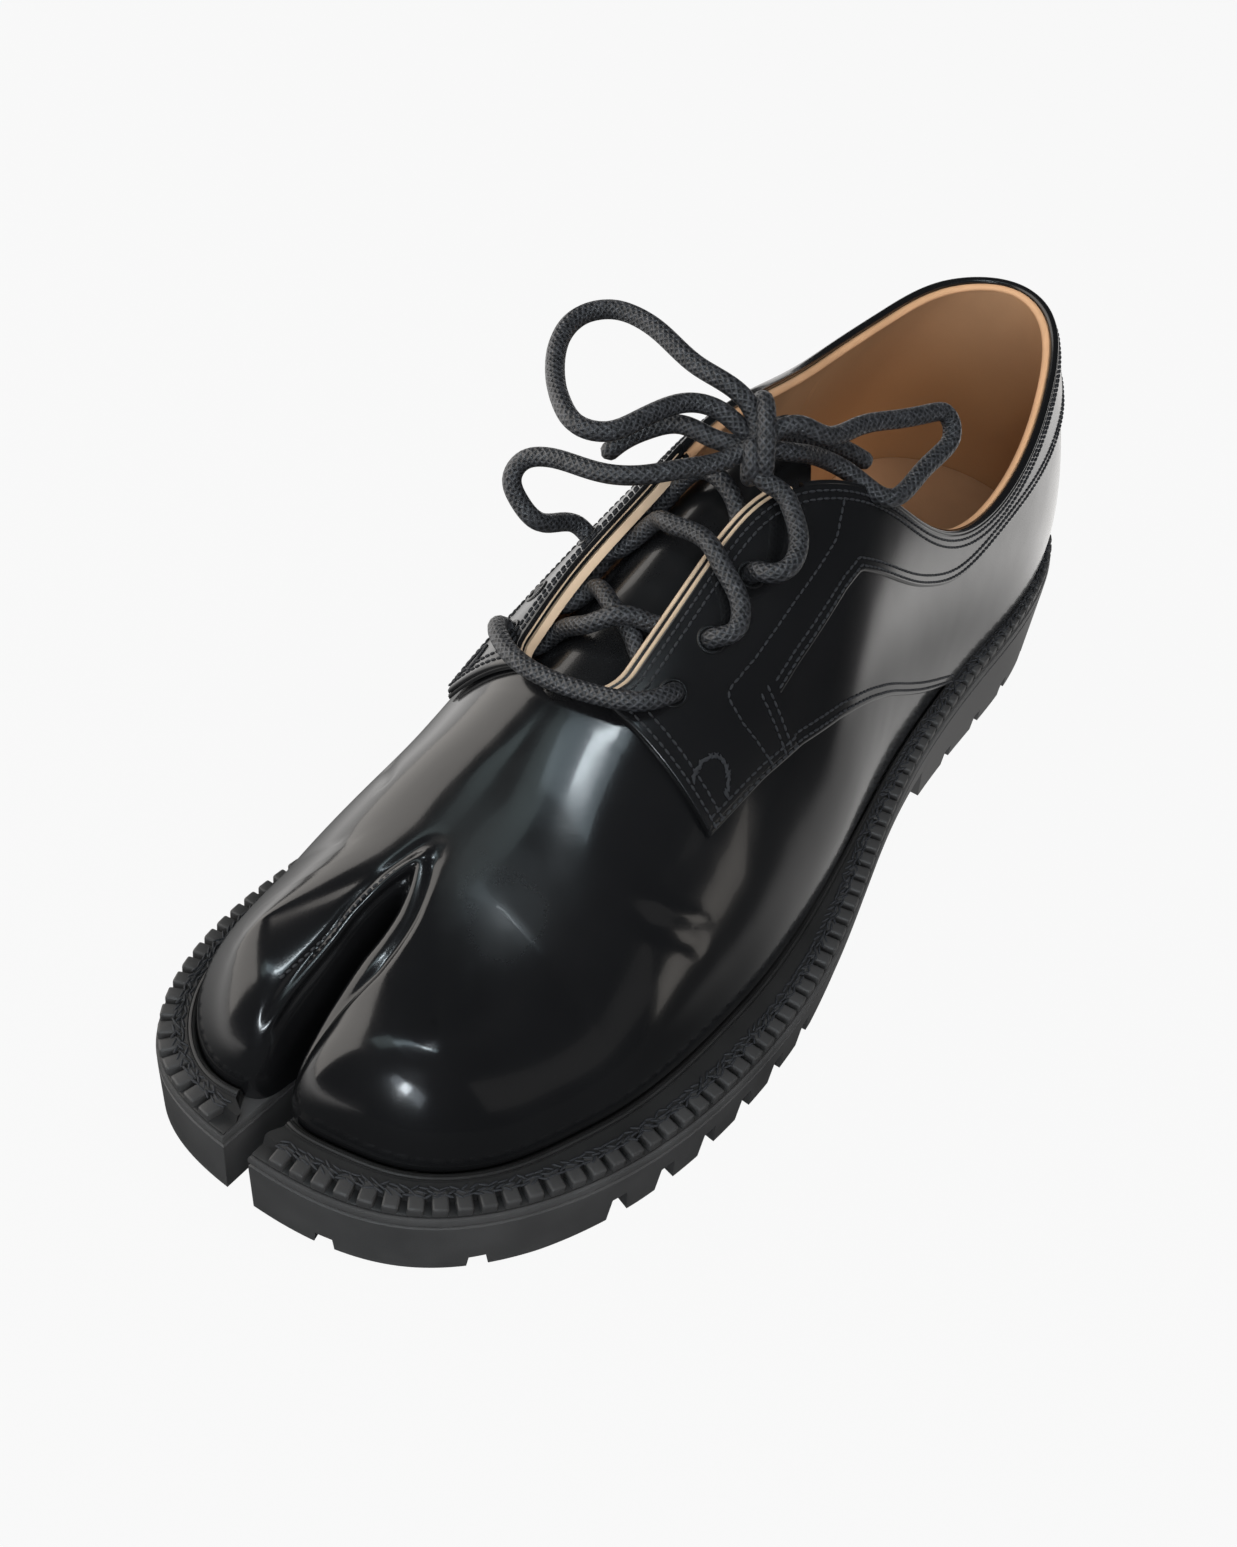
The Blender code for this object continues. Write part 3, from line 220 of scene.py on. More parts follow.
INNER_SECTIONS = (
    # place, foot x, foot y, ridge y, belly, square, crown, opening, tuck
    ("heel corner", -21.2, 128.4, 118.0, 2.4, 1.6, 0.0, 0.57, 0.0),
    ("heel side", -28.8, 104.0, 102.0, 2.4, 1.65, 0.0, 0.53, 0.0),
    ("ankle", -27.2, 65.0, 65.0, 2.6, 1.95, 0.0, 0.46, 0.0),
    ("waist", -27.0, 24.0, 26.0, 2.8, 1.9, 0.02, 0.62, 0.0),
    ("collar front", -31.2, -2.0, 3.0, 2.8, 2.1, 0.1, 0.71, 0.0),
    ("facing top", -35.2, -19.0, -11.0, 2.8, 2.2, 0.2, 0.75, 0.0),
    ("facing", -38.6, -38.0, -31.0, 2.8, 2.25, 0.3, 0.74, 0.0),
    ("facing foot", -40.6, -54.0, -51.0, 2.8, 2.3, 0.32, 0.77, 0.0),
    ("throat front", -41.6, -64.0, -62.0, 2.8, 2.3, 0.35, 1.0, 0.0),
    ("vamp", -42.6, -76.0, -71.0, 2.6, 2.35, 0.35, 1.0, 0.0),
    ("vamp front", -43.4, -90.0, -82.0, 2.4, 2.4, 0.35, 1.0, 0.0),
    ("fork", -43.5, -97.4, -90.0, 2.3, 2.4, 0.35, 1.0, 0.0),
    ("toe side", -43.2, -105.0, -98.0, 2.2, 2.4, 0.35, 1.0, 0.0),
    ("lobe tip", -39.6, -120.0, -110.0, 2.0, 2.4, 0.35, 1.0, 0.0),
    ("lobe corner", -31.4, -130.6, -114.0, 1.8, 2.4, 0.35, 1.0, 0.0),
    ("lobe front", -23.4, -134.2, -114.0, 1.4, 2.5, 0.33, 1.0, 0.0),
    ("cleft corner", -16.6, -132.8, -114.0, 0.6, 3.0, 0.3, 1.0, 0.0),
    ("cleft mouth", -14.9, -126.4, -111.0, 0.0, 4.5, 0.27, 1.0, 0.0),
    ("cleft", -14.2, -114.0, -101.5, 0.0, 6.0, 0.24, 1.0, 0.0),
    ("cleft end", -13.4, -101.0, -94.5, 0.0, 6.0, 0.24, 1.0, 0.0),
)

# Lower edges of the quarters and of the facings with their collar band: girth and share of the section
QUARTER_FOOT = 3.3
QUARTER_FRONT = 214.2
QUARTER_EDGE = (
    (0.0, 0.0), (103.0, 0.04), (118.0, 0.115), (133.4, 0.194), (157.6, 0.311),
    (176.1, 0.41), (188.4, 0.466), (199.6, 0.499), (214.2, 0.525),
)
FACING_EDGE = (
    (0.0, 0.455), (23.6, 0.44), (49.7, 0.385), (70.0, 0.325), (93.2, 0.284), (113.2, 0.307),
    (127.5, 0.366), (144.1, 0.456), (159.0, 0.562), (166.0, 0.574), (184.0, 0.585), (190.2, 0.583),
    (190.8, 0.475), (214.2, 0.525),
)
FACING_CORNER = 159.0

# Stitch rows on the outer side, as girths and shares. The inner side mirrors them, without the short ones
SINGLE_ROW = (
    (158.0, 0.70), (164.0, 0.668), (170.3, 0.668), (179.5, 0.675), (191.7, 0.677),
    (198.6, 0.684), (199.7, 0.675), (199.6, 0.617), (197.7, 0.515),
)
BAR_TACK = ((211.9, 0.636), (209.3, 0.643), (206.5, 0.624), (206.0, 0.594), (208.4, 0.558))
FRONT_ROWS = (212.7, 210.9)
FRONT_SHARES = (0.54, 0.87)
SHORT_ROWS = (192.2, 194.0)
SHORT_SHARES = (0.615, 0.50)

# Double rows of stitches: distances from the quarter's lower edge, the facing's lower edge and the top line
QUARTER_ROWS = (1.5, 3.3)
FACING_ROWS = (1.2, 2.9)
TOP_ROWS = (-1.5, -3.1)
FACING_FRONT = 190.9
STITCH_LIFT = 0.1

# Layers along the throat's cut edges: finish, under and upper face over the last, reach past the edge
EDGE_LAYERS = {
    "outer": (
        ("edge_leather", 0.2, 1.0, 0.9),
        ("tongue_leather", -0.6, 0.2, 1.7),
        ("edge_leather", -1.5, -0.6, 2.6),
    ),
    "inner": (("edge_leather", -1.7, 0.1, 0.55), ("edge_leather", 1.05, 1.25, 0.35)),
}

# Tongue: rows along the top line, its depth under the last, and where its two edges lie
TONGUE = (
    # ridge y, depth, outer share, inner share
    (-70.0, 2.7, 0.84, 0.80),
    (-62.0, 3.2, 0.80, 0.74),
    (-54.0, 5.0, 0.77, 0.68),
    (-46.0, 6.2, 0.75, 0.64),
    (-30.0, 6.2, 0.74, 0.62),
    (-12.0, 6.2, 0.73, 0.62),
    (2.0, 6.0, 0.74, 0.65),
    (9.0, 5.6, 0.80, 0.74),
)
TONGUE_WALL = 1.5
TONGUE_SEAM_Y = -56.0
TONGUE_ROWS = 90
TONGUE_ACROSS = 21
LINING_SEAM = 617.5
UPPER_ROWS = 86
LINING_ROWS = 44

# Section of the insole: distance in from its edge and height above the sole
INSOLE_CUTS = np.arange(-128.0, 136.0, 4.0)
INSOLE_EDGE = ((0.0, 0.0), (0.0, 1.7), (0.35, 2.2), (1.1, 2.4))

# Soft troughs and ridges of the vamp: places as girth and share, half width and height
CREASES = (
    # flex ridge, flex trough and crease on the inner side
    (((236.0, 0.665), (233.4, 0.605), (230.7, 0.545), (226.6, 0.477), (220.0, 0.383)), 2.2, 0.24),
    (((240.5, 0.63), (237.0, 0.57), (233.6, 0.51), (229.5, 0.44), (223.0, 0.35)), 3.4, -0.3),
    (((456.25, 0.62), (462.25, 0.54), (468.25, 0.45)), 3.5, -0.4),
)

# Turned edges of the cleft, from each mouth to the root: share of the way, steepness of the wall that the
# edge follows, half width and height
OUTER_ROLL = (
    (0.0, 0.25, 0.9, 0.2), (0.15, 0.3, 1.3, 0.5), (0.3, 0.4, 1.9, 0.8), (0.5, 0.6, 3.3, 1.1),
    (0.8, 0.6, 3.0, 1.0), (1.0, 0.6, 2.0, 0.8),
)
INNER_ROLL = ((0.0, 0.5, 1.3, 0.3), (0.3, 0.6, 1.5, 0.6), (0.8, 0.6, 1.5, 0.65), (1.0, 0.6, 2.0, 0.8))
ROLL_VALLEY = 0.65

# Middle of the patch over the fork that flexing has worn dull, in metres
WORN_PLACE = (0.0085, -0.093, 0.0528)

# Eyelets from the foot of the throat up: girth and share
EYELETS = {
    "outer": ((206.2, 0.777), (196.5, 0.777), (184.6, 0.79)),
    "inner": ((490.65, 0.68), (500.45, 0.64), (512.85, 0.66)),
}

# The bow: its knot, and the places that each strand runs through
KNOT_CENTRE = (2.5, -9.0, 110.8)
KNOT_RADII = (6.8, 5.8, 5.8)
TAIL_OUTER = (
    (18.0, -27.6, 97.4), (20.6, -26.0, 98.4), (20.8, -22.2, 100.0), (18.6, -18.4, 102.0),
    (15.1, -15.2, 103.6), (11.3, -13.2, 105.0),
)
TAIL_INNER = (
    (-28.1, -36.4, 92.0), (-32.2, -37.1, 95.5), (-34.4, -36.4, 98.8), (-33.7, -34.3, 102.0),
    (-29.6, -32.6, 104.0), (-22.9, -32.4, 105.2), (-16.1, -31.8, 106.0), (-10.7, -29.2, 106.8),
    (-5.4, -23.4, 107.6),
)
LOOP_OUTER = (
    (12.2, -0.6, 111.8), (15.3, 9.2, 110.4), (19.7, 19.5, 109.0), (23.3, 27.8, 108.1), (24.6, 30.2, 107.4),
    (26.4, 30.7, 105.3), (27.7, 29.0, 103.0), (27.7, 26.2, 101.9), (26.8, 19.4, 100.2), (26.3, 12.6, 98.2),
    (25.6, 10.3, 97.8), (24.0, 8.9, 97.8), (21.8, 8.4, 98.3), (16.6, 8.0, 100.2), (11.6, 5.0, 103.0),
)
LOOP_INNER = (
    (-9.6, -13.0, 115.4), (-12.6, -19.6, 116.0), (-14.4, -27.2, 115.8), (-17.0, -32.4, 115.2),
    (-21.4, -34.2, 115.2), (-27.8, -31.3, 116.0), (-33.7, -25.3, 117.4), (-37.0, -19.9, 119.4),
    (-38.3, -13.9, 121.2), (-37.2, -8.9, 122.0), (-33.8, -5.9, 122.6), (-29.0, -5.3, 122.8),
    (-21.8, -6.8, 122.4), (-12.5, -8.8, 120.4),
)
END_OUTER = ((5.2, 4.4, 106.0), (8.9, 10.5, 103.0), (12.4, 15.1, 100.0), (16.0, 18.5, 97.0))
END_INNER = ((-12.0, -13.5, 109.8), (-16.6, -17.2, 108.4), (-19.7, -22.2, 106.4), (-21.3, -25.3, 104.0))
KNOT_EXITS = {
    "tail outer": (0.585, -0.599, -0.547),
    "tail inner": (-0.325, -0.891, -0.321),
    "loop outer over": (0.712, 0.579, 0.4),
    "loop outer under": (0.66, 0.64, -0.4),
    "loop inner over": (-0.88, -0.2, 0.42),
    "loop inner under": (-0.55, 0.1, 0.83),
    "end outer": (0.0, 0.93, -0.36),
    "end inner": (-0.9, -0.38, -0.2),
}
KNOT_CLEAR = 2.0
LACE_SIDES = 14
LACE_BAR = ((13.2, -58.0, 83.8), (4.5, -61.6, 82.5), (-6.3, -62.8, 81.5), (-17.1, -60.3, 81.0))
WRAP_TURNS = (-0.62, 0.98)
WRAP_RADIUS = 4.9
WRAP_SINK = 2.4

# The bow's own directions: across, up and out
BOW_AXES = np.array(((0.831, 0.557, 0.0), (-0.370, 0.552, 0.747), (0.416, -0.620, 0.665)))

# Each half of the bow: its places from the eyelet to the knot, round its loop and at its bare end, the exits
# of the knot that it takes, and where it runs inside the knot, in the bow's own directions
BOW_HALVES = {
    "outer": (
        TAIL_OUTER, LOOP_INNER[::-1], END_OUTER,
        ("tail outer", "loop inner under", "loop inner over", "end outer"),
        (0.0, 1.2, 1.2), (0.0, 0.3, -1.8),
    ),
    "inner": (
        TAIL_INNER, LOOP_OUTER, END_INNER,
        ("tail inner", "loop outer over", "loop outer under", "end inner"),
        (0.0, -0.8, 1.4), (0.0, -1.6, -1.0),
    ),
}

# Camera: bearing from the toe, height and roll in degrees, distance and target in metres, focal length
CAMERA_AZIMUTH = 27.9
CAMERA_ELEVATION = 43.77
CAMERA_ROLL = 7.93
CAMERA_DISTANCE = 0.38
CAMERA_TARGET = (-0.0061, -0.0297, 0.0319)
CAMERA_LENS = 41.0
CAMERA_SENSOR = 36.0


class ShoeSizes(bpy.types.PropertyGroup):
    """Sizes that change the look of the shoe and leave its form alone."""

    leather_wall: FloatProperty(
        name="Leather", description="Thickness of the vamp's leather", default=0.0009, unit="LENGTH")
    lining_wall: FloatProperty(
        name="Lining", description="Thickness of the lining", default=0.0008, unit="LENGTH")
    quarter_rise: FloatProperty(
        name="Quarter rise", description="Height of the quarters over the last", default=0.0014,
        unit="LENGTH")
    facing_rise: FloatProperty(
        name="Facing rise", description="Height of the facings over the last", default=0.0022, unit="LENGTH")
    stitch_pitch: FloatProperty(
        name="Stitch pitch", description="Distance from one stitch to the next", default=0.0016,
        unit="LENGTH")
    thread: FloatProperty(
        name="Thread", description="Thickness of the thread", default=0.00054, unit="LENGTH")
    tooth_pitch: FloatProperty(
        name="Tooth pitch", description="Distance from one tooth of the welt to the next", default=0.0043,
        unit="LENGTH")
    tooth_length: FloatProperty(
        name="Longest tooth", description="Length of the longest tooth across the welt", default=0.0043,
        unit="LENGTH")
    tooth_share: FloatProperty(
        name="Tooth share", description="Share of the pitch that a tooth fills", default=0.7, min=0.2,
        max=0.95)
    lace: FloatProperty(
        name="Lace", description="Diameter of the round lace", default=0.0038, unit="LENGTH")


# What every colour of the panel has in common
COLOUR = dict(subtype="COLOR", size=3, min=0.0, max=1.0)


class ShoeColours(bpy.types.PropertyGroup):
    """Base colours of the shoe's materials and of the floor."""

    leather: FloatVectorProperty(
        name="Leather", description="Polished upper leather", default=(0.006, 0.0062, 0.0068), **COLOUR)
    rubber: FloatVectorProperty(
        name="Rubber", description="Sole and welt", default=(0.05, 0.05, 0.0505), **COLOUR)
    lining: FloatVectorProperty(
        name="Lining", description="Lining and insole", default=(0.44, 0.26, 0.145), **COLOUR)
    lace: FloatVectorProperty(
        name="Lace", description="Waxed lace", default=(0.0185, 0.0195, 0.022), **COLOUR)
    edge: FloatVectorProperty(
        name="Cut edge", description="Undyed cut edges of the facings", default=(0.62, 0.47, 0.33), **COLOUR)
    floor: FloatVectorProperty(
        name="Floor", description="Studio floor", default=(0.93, 0.93, 0.93), **COLOUR)


def context_sizes():
    """The panel's sizes."""
    return bpy.context.scene.shoe_sizes


def size(name):
    """A size from the panel, in millimetres."""
    return getattr(context_sizes(), name) / MM


def colour(name):
    """A colour from the panel."""
    return tuple(getattr(bpy.context.scene.shoe_colours, name))


def spline(knots, rows, at, closed=False):
    """Values at the places given, on the smooth curve through the rows; a closed one ends as it starts."""
    x = np.asarray(knots, float)
    y = np.asarray(rows, float).reshape(len(x), -1)
    h = np.diff(x)[:, None]
    slope = np.diff(y, axis=0) / h
    count = len(x)
    system = np.zeros((count, count))
    right = np.zeros_like(y)
    for i in range(1, count - 1):
        system[i, i - 1:i + 2] = h[i - 1, 0], 2.0 * (h[i - 1, 0] + h[i, 0]), h[i, 0]
        right[i] = 6.0 * (slope[i] - slope[i - 1])
    system[0, 0] = system[-1, -1] = 1.0
    if closed:
        system[0, -1] = -1.0
        system[-1, 0], system[-1, 1] = 2.0 * h[0, 0], h[0, 0]
        system[-1, -2], system[-1, -1] = h[-1, 0], 2.0 * h[-1, 0]
        right[-1] = 6.0 * (slope[0] - slope[-1])
    bend = np.linalg.solve(system, right)
    at = np.atleast_1d(np.asarray(at, float))
    if closed:
        at = np.mod(at - x[0], x[-1] - x[0]) + x[0]
    i = np.clip(np.searchsorted(x, at, side="right") - 1, 0, count - 2)
    d = (at - x[i])[:, None]
    first = slope[i] - h[i] * (2.0 * bend[i] + bend[i + 1]) / 6.0
    return y[i] + d * first + d ** 2 * bend[i] / 2.0 + d ** 3 * (bend[i + 1] - bend[i]) / (6.0 * h[i])


def unit(rows):
    """The same directions, each with a length of 1."""
    return rows / np.linalg.norm(rows, axis=1)[:, None]


def read_rows(at, along, rows):
    """The rows of a line, read at the distances given."""
    return np.column_stack([np.interp(at, along, column) for column in np.asarray(rows).T])


def averaged(values, reach):
    """Each value of a row as the mean of its neighbours on both sides."""
    window = 2 * reach + 1
    return np.convolve(np.pad(values, reach, mode="edge"), np.ones(window) / window, mode="valid")


def chord_knots(points):
    """Distance along a row of points, from its first one."""
    steps = np.linalg.norm(np.diff(np.asarray(points, float), axis=0), axis=1)
    return np.concatenate(([0.0], np.cumsum(steps)))


def smooth_path(points, step):
    """Points about one step apart on the smooth curve through the places given."""
    knots = chord_knots(points)
    dense = spline(knots, points, np.linspace(0.0, knots[-1], 40 * len(knots)))
    return even_path(dense, step)


def even_path(points, step):
    """The same line with points about one step apart."""
    along = chord_knots(points)
    at = np.linspace(0.0, along[-1], max(2, int(round(along[-1] / step)) + 1))
    return read_rows(at, along, points)


def plan_normals(points):
    """Outward normals of a closed plan curve that runs from the heel round the outer side."""
    tangent = unit(np.roll(points, -1, axis=0) - np.roll(points, 1, axis=0))
    return np.stack((-tangent[:, 1], tangent[:, 0]), axis=1)


# The sole's plan as a fine closed curve with its distance along the edge, from the heel
SOLE_POINTS = np.array([row[1:] for row in SOLE_PLAN + SOLE_PLAN[:1]])
SOLE_KNOTS = chord_knots(SOLE_POINTS)
SOLE_FINE = spline(SOLE_KNOTS, SOLE_POINTS, np.linspace(0.0, SOLE_KNOTS[-1], 2400, endpoint=False), True)
SOLE_FINE = SOLE_FINE - (SOLE_FINE.max(axis=0) + SOLE_FINE.min(axis=0)) / 2.0
SOLE_FINE = SOLE_FINE * np.array((1.0, SHOE_LENGTH / np.ptp(SOLE_FINE[:, 1])))
SOLE_NORMALS = plan_normals(SOLE_FINE)
SOLE_EDGE = chord_knots(np.vstack((SOLE_FINE, SOLE_FINE[:1])))


def sole_edge(s, inset=0.0):
    """Plan points on the sole's edge at the distances given, moved inwards by the inset."""
    s = np.mod(s, SOLE_EDGE[-1])
    at = np.interp(s, SOLE_EDGE, np.arange(len(SOLE_EDGE))).astype(int) % len(SOLE_FINE)
    share = (s - SOLE_EDGE[at]) / (SOLE_EDGE[at + 1] - SOLE_EDGE[at])
    after = (at + 1) % len(SOLE_FINE)
    point = SOLE_FINE[at] + (SOLE_FINE[after] - SOLE_FINE[at]) * share[:, None]
    normal = SOLE_NORMALS[at] + (SOLE_NORMALS[after] - SOLE_NORMALS[at]) * share[:, None]
    return point - normal * inset


SIDE_Y = np.array([row[1] for row in SOLE_SIDE])
SIDE_TOP = np.array([row[2] for row in SOLE_SIDE])
SIDE_UNDER = np.array([row[3] for row in SOLE_SIDE])
SMOOTH_ROWS = np.array([i for i, row in enumerate(SOLE_SIDE) if row[0] != "heel breast foot"])


def sole_top(y):
    """Height of the sole's upper face."""
    return spline(SIDE_Y[SMOOTH_ROWS], SIDE_TOP[SMOOTH_ROWS], y)[:, 0]


def sole_under(y):
    """Height of the sole's underside, with the step of the heel breast."""
    return np.interp(y, SIDE_Y, SIDE_UNDER)


RIDGE_ROWS = np.array([row[1:] for row in RIDGE])


def ridge(y, spread):
    """Points of the last's top line; in front of the fork it leans to one side by the spread."""
    y = np.clip(y, TIP_Y, RIDGE_ROWS[0, 0])
    xz = spline(-RIDGE_ROWS[:, 0], RIDGE_ROWS[:, 1:], -y)
    ahead = np.clip((FORK_Y - y) / (FORK_Y - TIP_Y), 0.0, 1.0)
    return np.stack((xz[:, 0] + spread * ahead, y, xz[:, 1]), axis=1)


# The sections in one closed round: outer side, cleft root, inner side. A girth is a distance along it
SECTIONS = OUTER_SECTIONS + (CLEFT_ROOT,) + INNER_SECTIONS[::-1] + OUTER_SECTIONS[:1]
SECTION_ROWS = np.array([row[1:] for row in SECTIONS])
GIRTHS = chord_knots(SECTION_ROWS[:, :2])
ROOT_ROW = len(OUTER_SECTIONS)
ROOT_GIRTH = GIRTHS[ROOT_ROW]
FULL_GIRTH = GIRTHS[-1]
OPEN_ROWS = np.array([i for i, row in enumerate(SECTIONS) if row[7] < 1.0])


def girth_of(place, outer=True):
    """Girth of a named section of the outer or inner side."""
    rows = [i for i, row in enumerate(SECTIONS) if row[0] == place and (i <= ROOT_ROW) == outer]
    return GIRTHS[rows[0]]


def opening(a):
    """Share of the section where the collar and throat cut the upper; 1 where the section is closed."""
    half = FULL_GIRTH / 2.0
    a = np.mod(np.asarray(a, float) + half, FULL_GIRTH) - half
    knots = np.mod(GIRTHS[OPEN_ROWS] + half, FULL_GIRTH) - half
    knots, keep = np.unique(np.round(knots, 6), return_index=True)
    share = spline(knots, SECTION_ROWS[OPEN_ROWS, 6][keep], np.clip(a, knots[0], knots[-1]))[:, 0]
    ends = girth_of("throat front", False) - FULL_GIRTH, girth_of("throat front")
    into = np.maximum((knots[0] - a) / (knots[0] - ends[0]), (a - knots[-1]) / (ends[1] - knots[-1]))
    into = np.clip(into, 0.0, 1.0)
    return share + (1.0 - share) * into ** 2


# Makes a belly of 1 bulge by 1 where it is fullest
SWELL = 256.0 / 27.0


def girth_direction(a):
    """Plan directions along the round of sections."""
    ahead = spline(GIRTHS, SECTION_ROWS[:, :2], a + 0.5, True)
    return unit(ahead - spline(GIRTHS, SECTION_ROWS[:, :2], a - 0.5, True))


def last_point(a, t):
    """Points of the last at the girths a and the shares t of its sections, from sole to top line."""
    a = np.asarray(a, float)
    t = np.asarray(t, float)
    foot_x, foot_y, ridge_y, belly, square, crown, _, tuck = spline(GIRTHS, SECTION_ROWS, a, True).T
    along = girth_direction(a)
    spread = np.where(np.mod(a, FULL_GIRTH) <= ROOT_GIRTH, OUTER_LOBE_SPREAD, INNER_LOBE_SPREAD)
    top = ridge(ridge_y, spread)
    foot_z = sole_top(foot_y) + GAP
    across = 1.0 - np.cos(t * math.pi / 2.0)
    rest = 1.0 - across
    up = (1.0 - crown) * (1.0 - rest ** square) ** (1.0 / square) + crown * (1.0 - rest ** 2)
    swell = (SWELL * belly * up - tuck) * (1.0 - up) ** 3
    x = foot_x + (top[:, 0] - foot_x) * across - along[:, 1] * swell
    y = foot_y + (top[:, 1] - foot_y) * across + along[:, 0] * swell
    z = foot_z + (top[:, 2] - foot_z) * up
    return np.stack((x, y, z), axis=1)


def last_normal(a, t):
    """Outward normals of the last."""
    a = np.asarray(a, float)
    low = np.clip(np.asarray(t, float), 0.01, 0.985)
    du = last_point(a + 0.4, low) - last_point(a - 0.4, low)
    dv = last_point(a, low + 0.01) - last_point(a, low - 0.01)
    return unit(-np.cross(du, dv))


def last_lifted(a, t, lift):
    """Points of the last moved outwards along its normals."""
    return last_point(a, t) + last_normal(a, t) * np.reshape(lift, (-1, 1))


def inner_girth(a):
    """Girth on the inner side that stands opposite a girth on the outer side."""
    names = [row[0] for row in OUTER_SECTIONS[1:]]
    outer = np.array([0.0] + [girth_of(name) for name in names])
    inner = np.array([FULL_GIRTH] + [girth_of(name, False) for name in names])
    return np.interp(a, outer, inner)


def ridge_place(a):
    """Where sections meet the top line, along the shoe."""
    return np.maximum(spline(GIRTHS, SECTION_ROWS[:, 2], a, True)[:, 0], TIP_Y)


def girth_between(wanted, start, end, count):
    """Girths in a range whose sections meet the top line at the places wanted."""
    fine = np.linspace(start, end, count)
    level = np.minimum.accumulate(ridge_place(fine))
    return np.interp(-np.atleast_1d(wanted), -level, fine)


def girth_at(y, outer):
    """Girth of one side whose section meets the top line at the place given."""
    return girth_between(y, 0.0 if outer else FULL_GIRTH, girth_of("fork", outer), count=1200)


def round_girths(count):
    """Girths from the cleft's inner corner backwards round the heel to its outer corner."""
    return np.linspace(girth_of("cleft corner", False) - FULL_GIRTH, girth_of("cleft corner"), count)


FOOT_SHARES = np.linspace(0.0, 0.3, 61)


def foot_columns(a):
    """Points of the last's lowest part, one column for each girth."""
    count = len(FOOT_SHARES)
    return last_point(np.repeat(a, count), np.tile(FOOT_SHARES, len(a))).reshape(len(a), count, 3)


def foot_line(a, height, lift=0.0):
    """Points of the last at given heights above the sole, moved outwards in plan."""
    heights = np.broadcast_to(height, np.shape(a))
    points = np.array([[np.interp(level, column[:, 2] - column[0, 2], column[:, k]) for k in range(3)]
                       for level, column in zip(heights, foot_columns(a))])
    along = girth_direction(a)
    points[:, 0] -= along[:, 1] * lift
    points[:, 1] += along[:, 0] * lift
    return points


def bead_share(y):
    """Share of its full size that the welt's bead has at each place along the shoe."""
    front, rear, least = BEAD_FADE
    return np.interp(y, (front, rear), (1.0, least))


def tooth_root(s):
    """How far in from the sole's edge the teeth of the welt start, just clear of the bead."""
    foot = foot_line(round_girths(1500), WELT_HEIGHT)[:, :2]
    edge = sole_edge(s)
    ledge, _ = nearest_on(edge, foot)
    bead = GAP + WELT_BEAD[-1][0] * bead_share(edge[:, 1])
    return np.clip(ledge - bead - WELT_SEAT, 2.4, WELT_INSET + size("tooth_length"))


class Field:
    """A number that varies over a surface; arithmetic on it adds Math nodes."""

    def __init__(self, tree, socket):
        self.tree = tree
        self.socket = socket

    def maths(self, operation, *operands):
        """One Math node whose inputs are fields or numbers."""
        made = self.tree.nodes.new("ShaderNodeMath")
        made.operation = operation
        for place, operand in zip(made.inputs, operands):
            if isinstance(operand, Field):
                self.tree.links.new(operand.socket, place)
            else:
                place.default_value = operand
        return Field(self.tree, made.outputs[0])

    def __add__(self, other):
        return self.maths("ADD", self, other)

    __radd__ = __add__

    def __sub__(self, other):
        return self.maths("SUBTRACT", self, other)

    def __rsub__(self, other):
        return self.maths("SUBTRACT", other, self)

    def __mul__(self, other):
        return self.maths("MULTIPLY", self, other)

    __rmul__ = __mul__

    def sine(self):
        """Sine of the field, in radians."""
        return self.maths("SINE", self)

    def most(self, other):
        """The larger of two fields."""
        return self.maths("MAXIMUM", self, other)


class Nodes:
    """Adds nodes to one shader tree."""

    def __init__(self, tree):
        self.tree = tree

    def feed(self, node, socket, value):
        """Set a socket, or link a field or another node's output to it."""
        source = getattr(value, "socket", value)
        if isinstance(source, bpy.types.NodeSocket):
            self.tree.links.new(source, node.inputs[socket])
        else:
            node.inputs[socket].default_value = value

    def node(self, kind, settings=None, values=None):
        """A node of any type, with its settings made before its sockets are fed."""
        made = self.tree.nodes.new(kind)
        for setting, value in (settings or {}).items():
            setattr(made, setting, value)
        for socket, value in (values or {}).items():
            self.feed(made, socket, value)
        return made

    def field(self, kind, output, settings=None, values=None):
        """A node's output as a field."""
        return Field(self.tree, self.node(kind, settings, values).outputs[output])

    def object_place(self):
        """Place on the shoe, in metres."""
        return self.node("ShaderNodeTexCoord").outputs["Object"]

    def noise(self, place, scale, detail=2.0):
        """Smooth noise from 0 to 1, with its scale in waves a metre."""
        values = {"Vector": place, "Scale": scale, "Detail": detail}
        return self.field("ShaderNodeTexNoise", 0, None, values)

    def ramp(self, value, low, high):
        """Soft step from 0 to 1 between two values."""
        values = {"Value": value, "From Min": low, "From Max": high}
        return self.field("ShaderNodeMapRange", 0, {"interpolation_type": "SMOOTHSTEP"}, values)

    def mix(self, factor, first, second):
        """Colour between two colours, each a triple or the output of another node."""
        made = self.node("ShaderNodeMix", {"data_type": "RGBA"})
        self.feed(made, 0, factor)
        for place, value in ((6, first), (7, second)):
            linked = isinstance(value, bpy.types.NodeSocket)
            self.feed(made, place, value if linked else (*value, 1.0))
        return made.outputs[2]

    def mottle(self, factor, base, dark, light):
        """A colour that varies from darker to lighter."""
        return self.mix(factor, shade(base, dark), shade(base, light))

    def bump(self, height, distance, strength=1.0, normal=None):
        """Bump of a height field; the distance is in metres."""
        values = {"Height": height, "Distance": distance, "Strength": strength}
        if normal is not None:
            values["Normal"] = normal
        return self.node("ShaderNodeBump", None, values).outputs["Normal"]


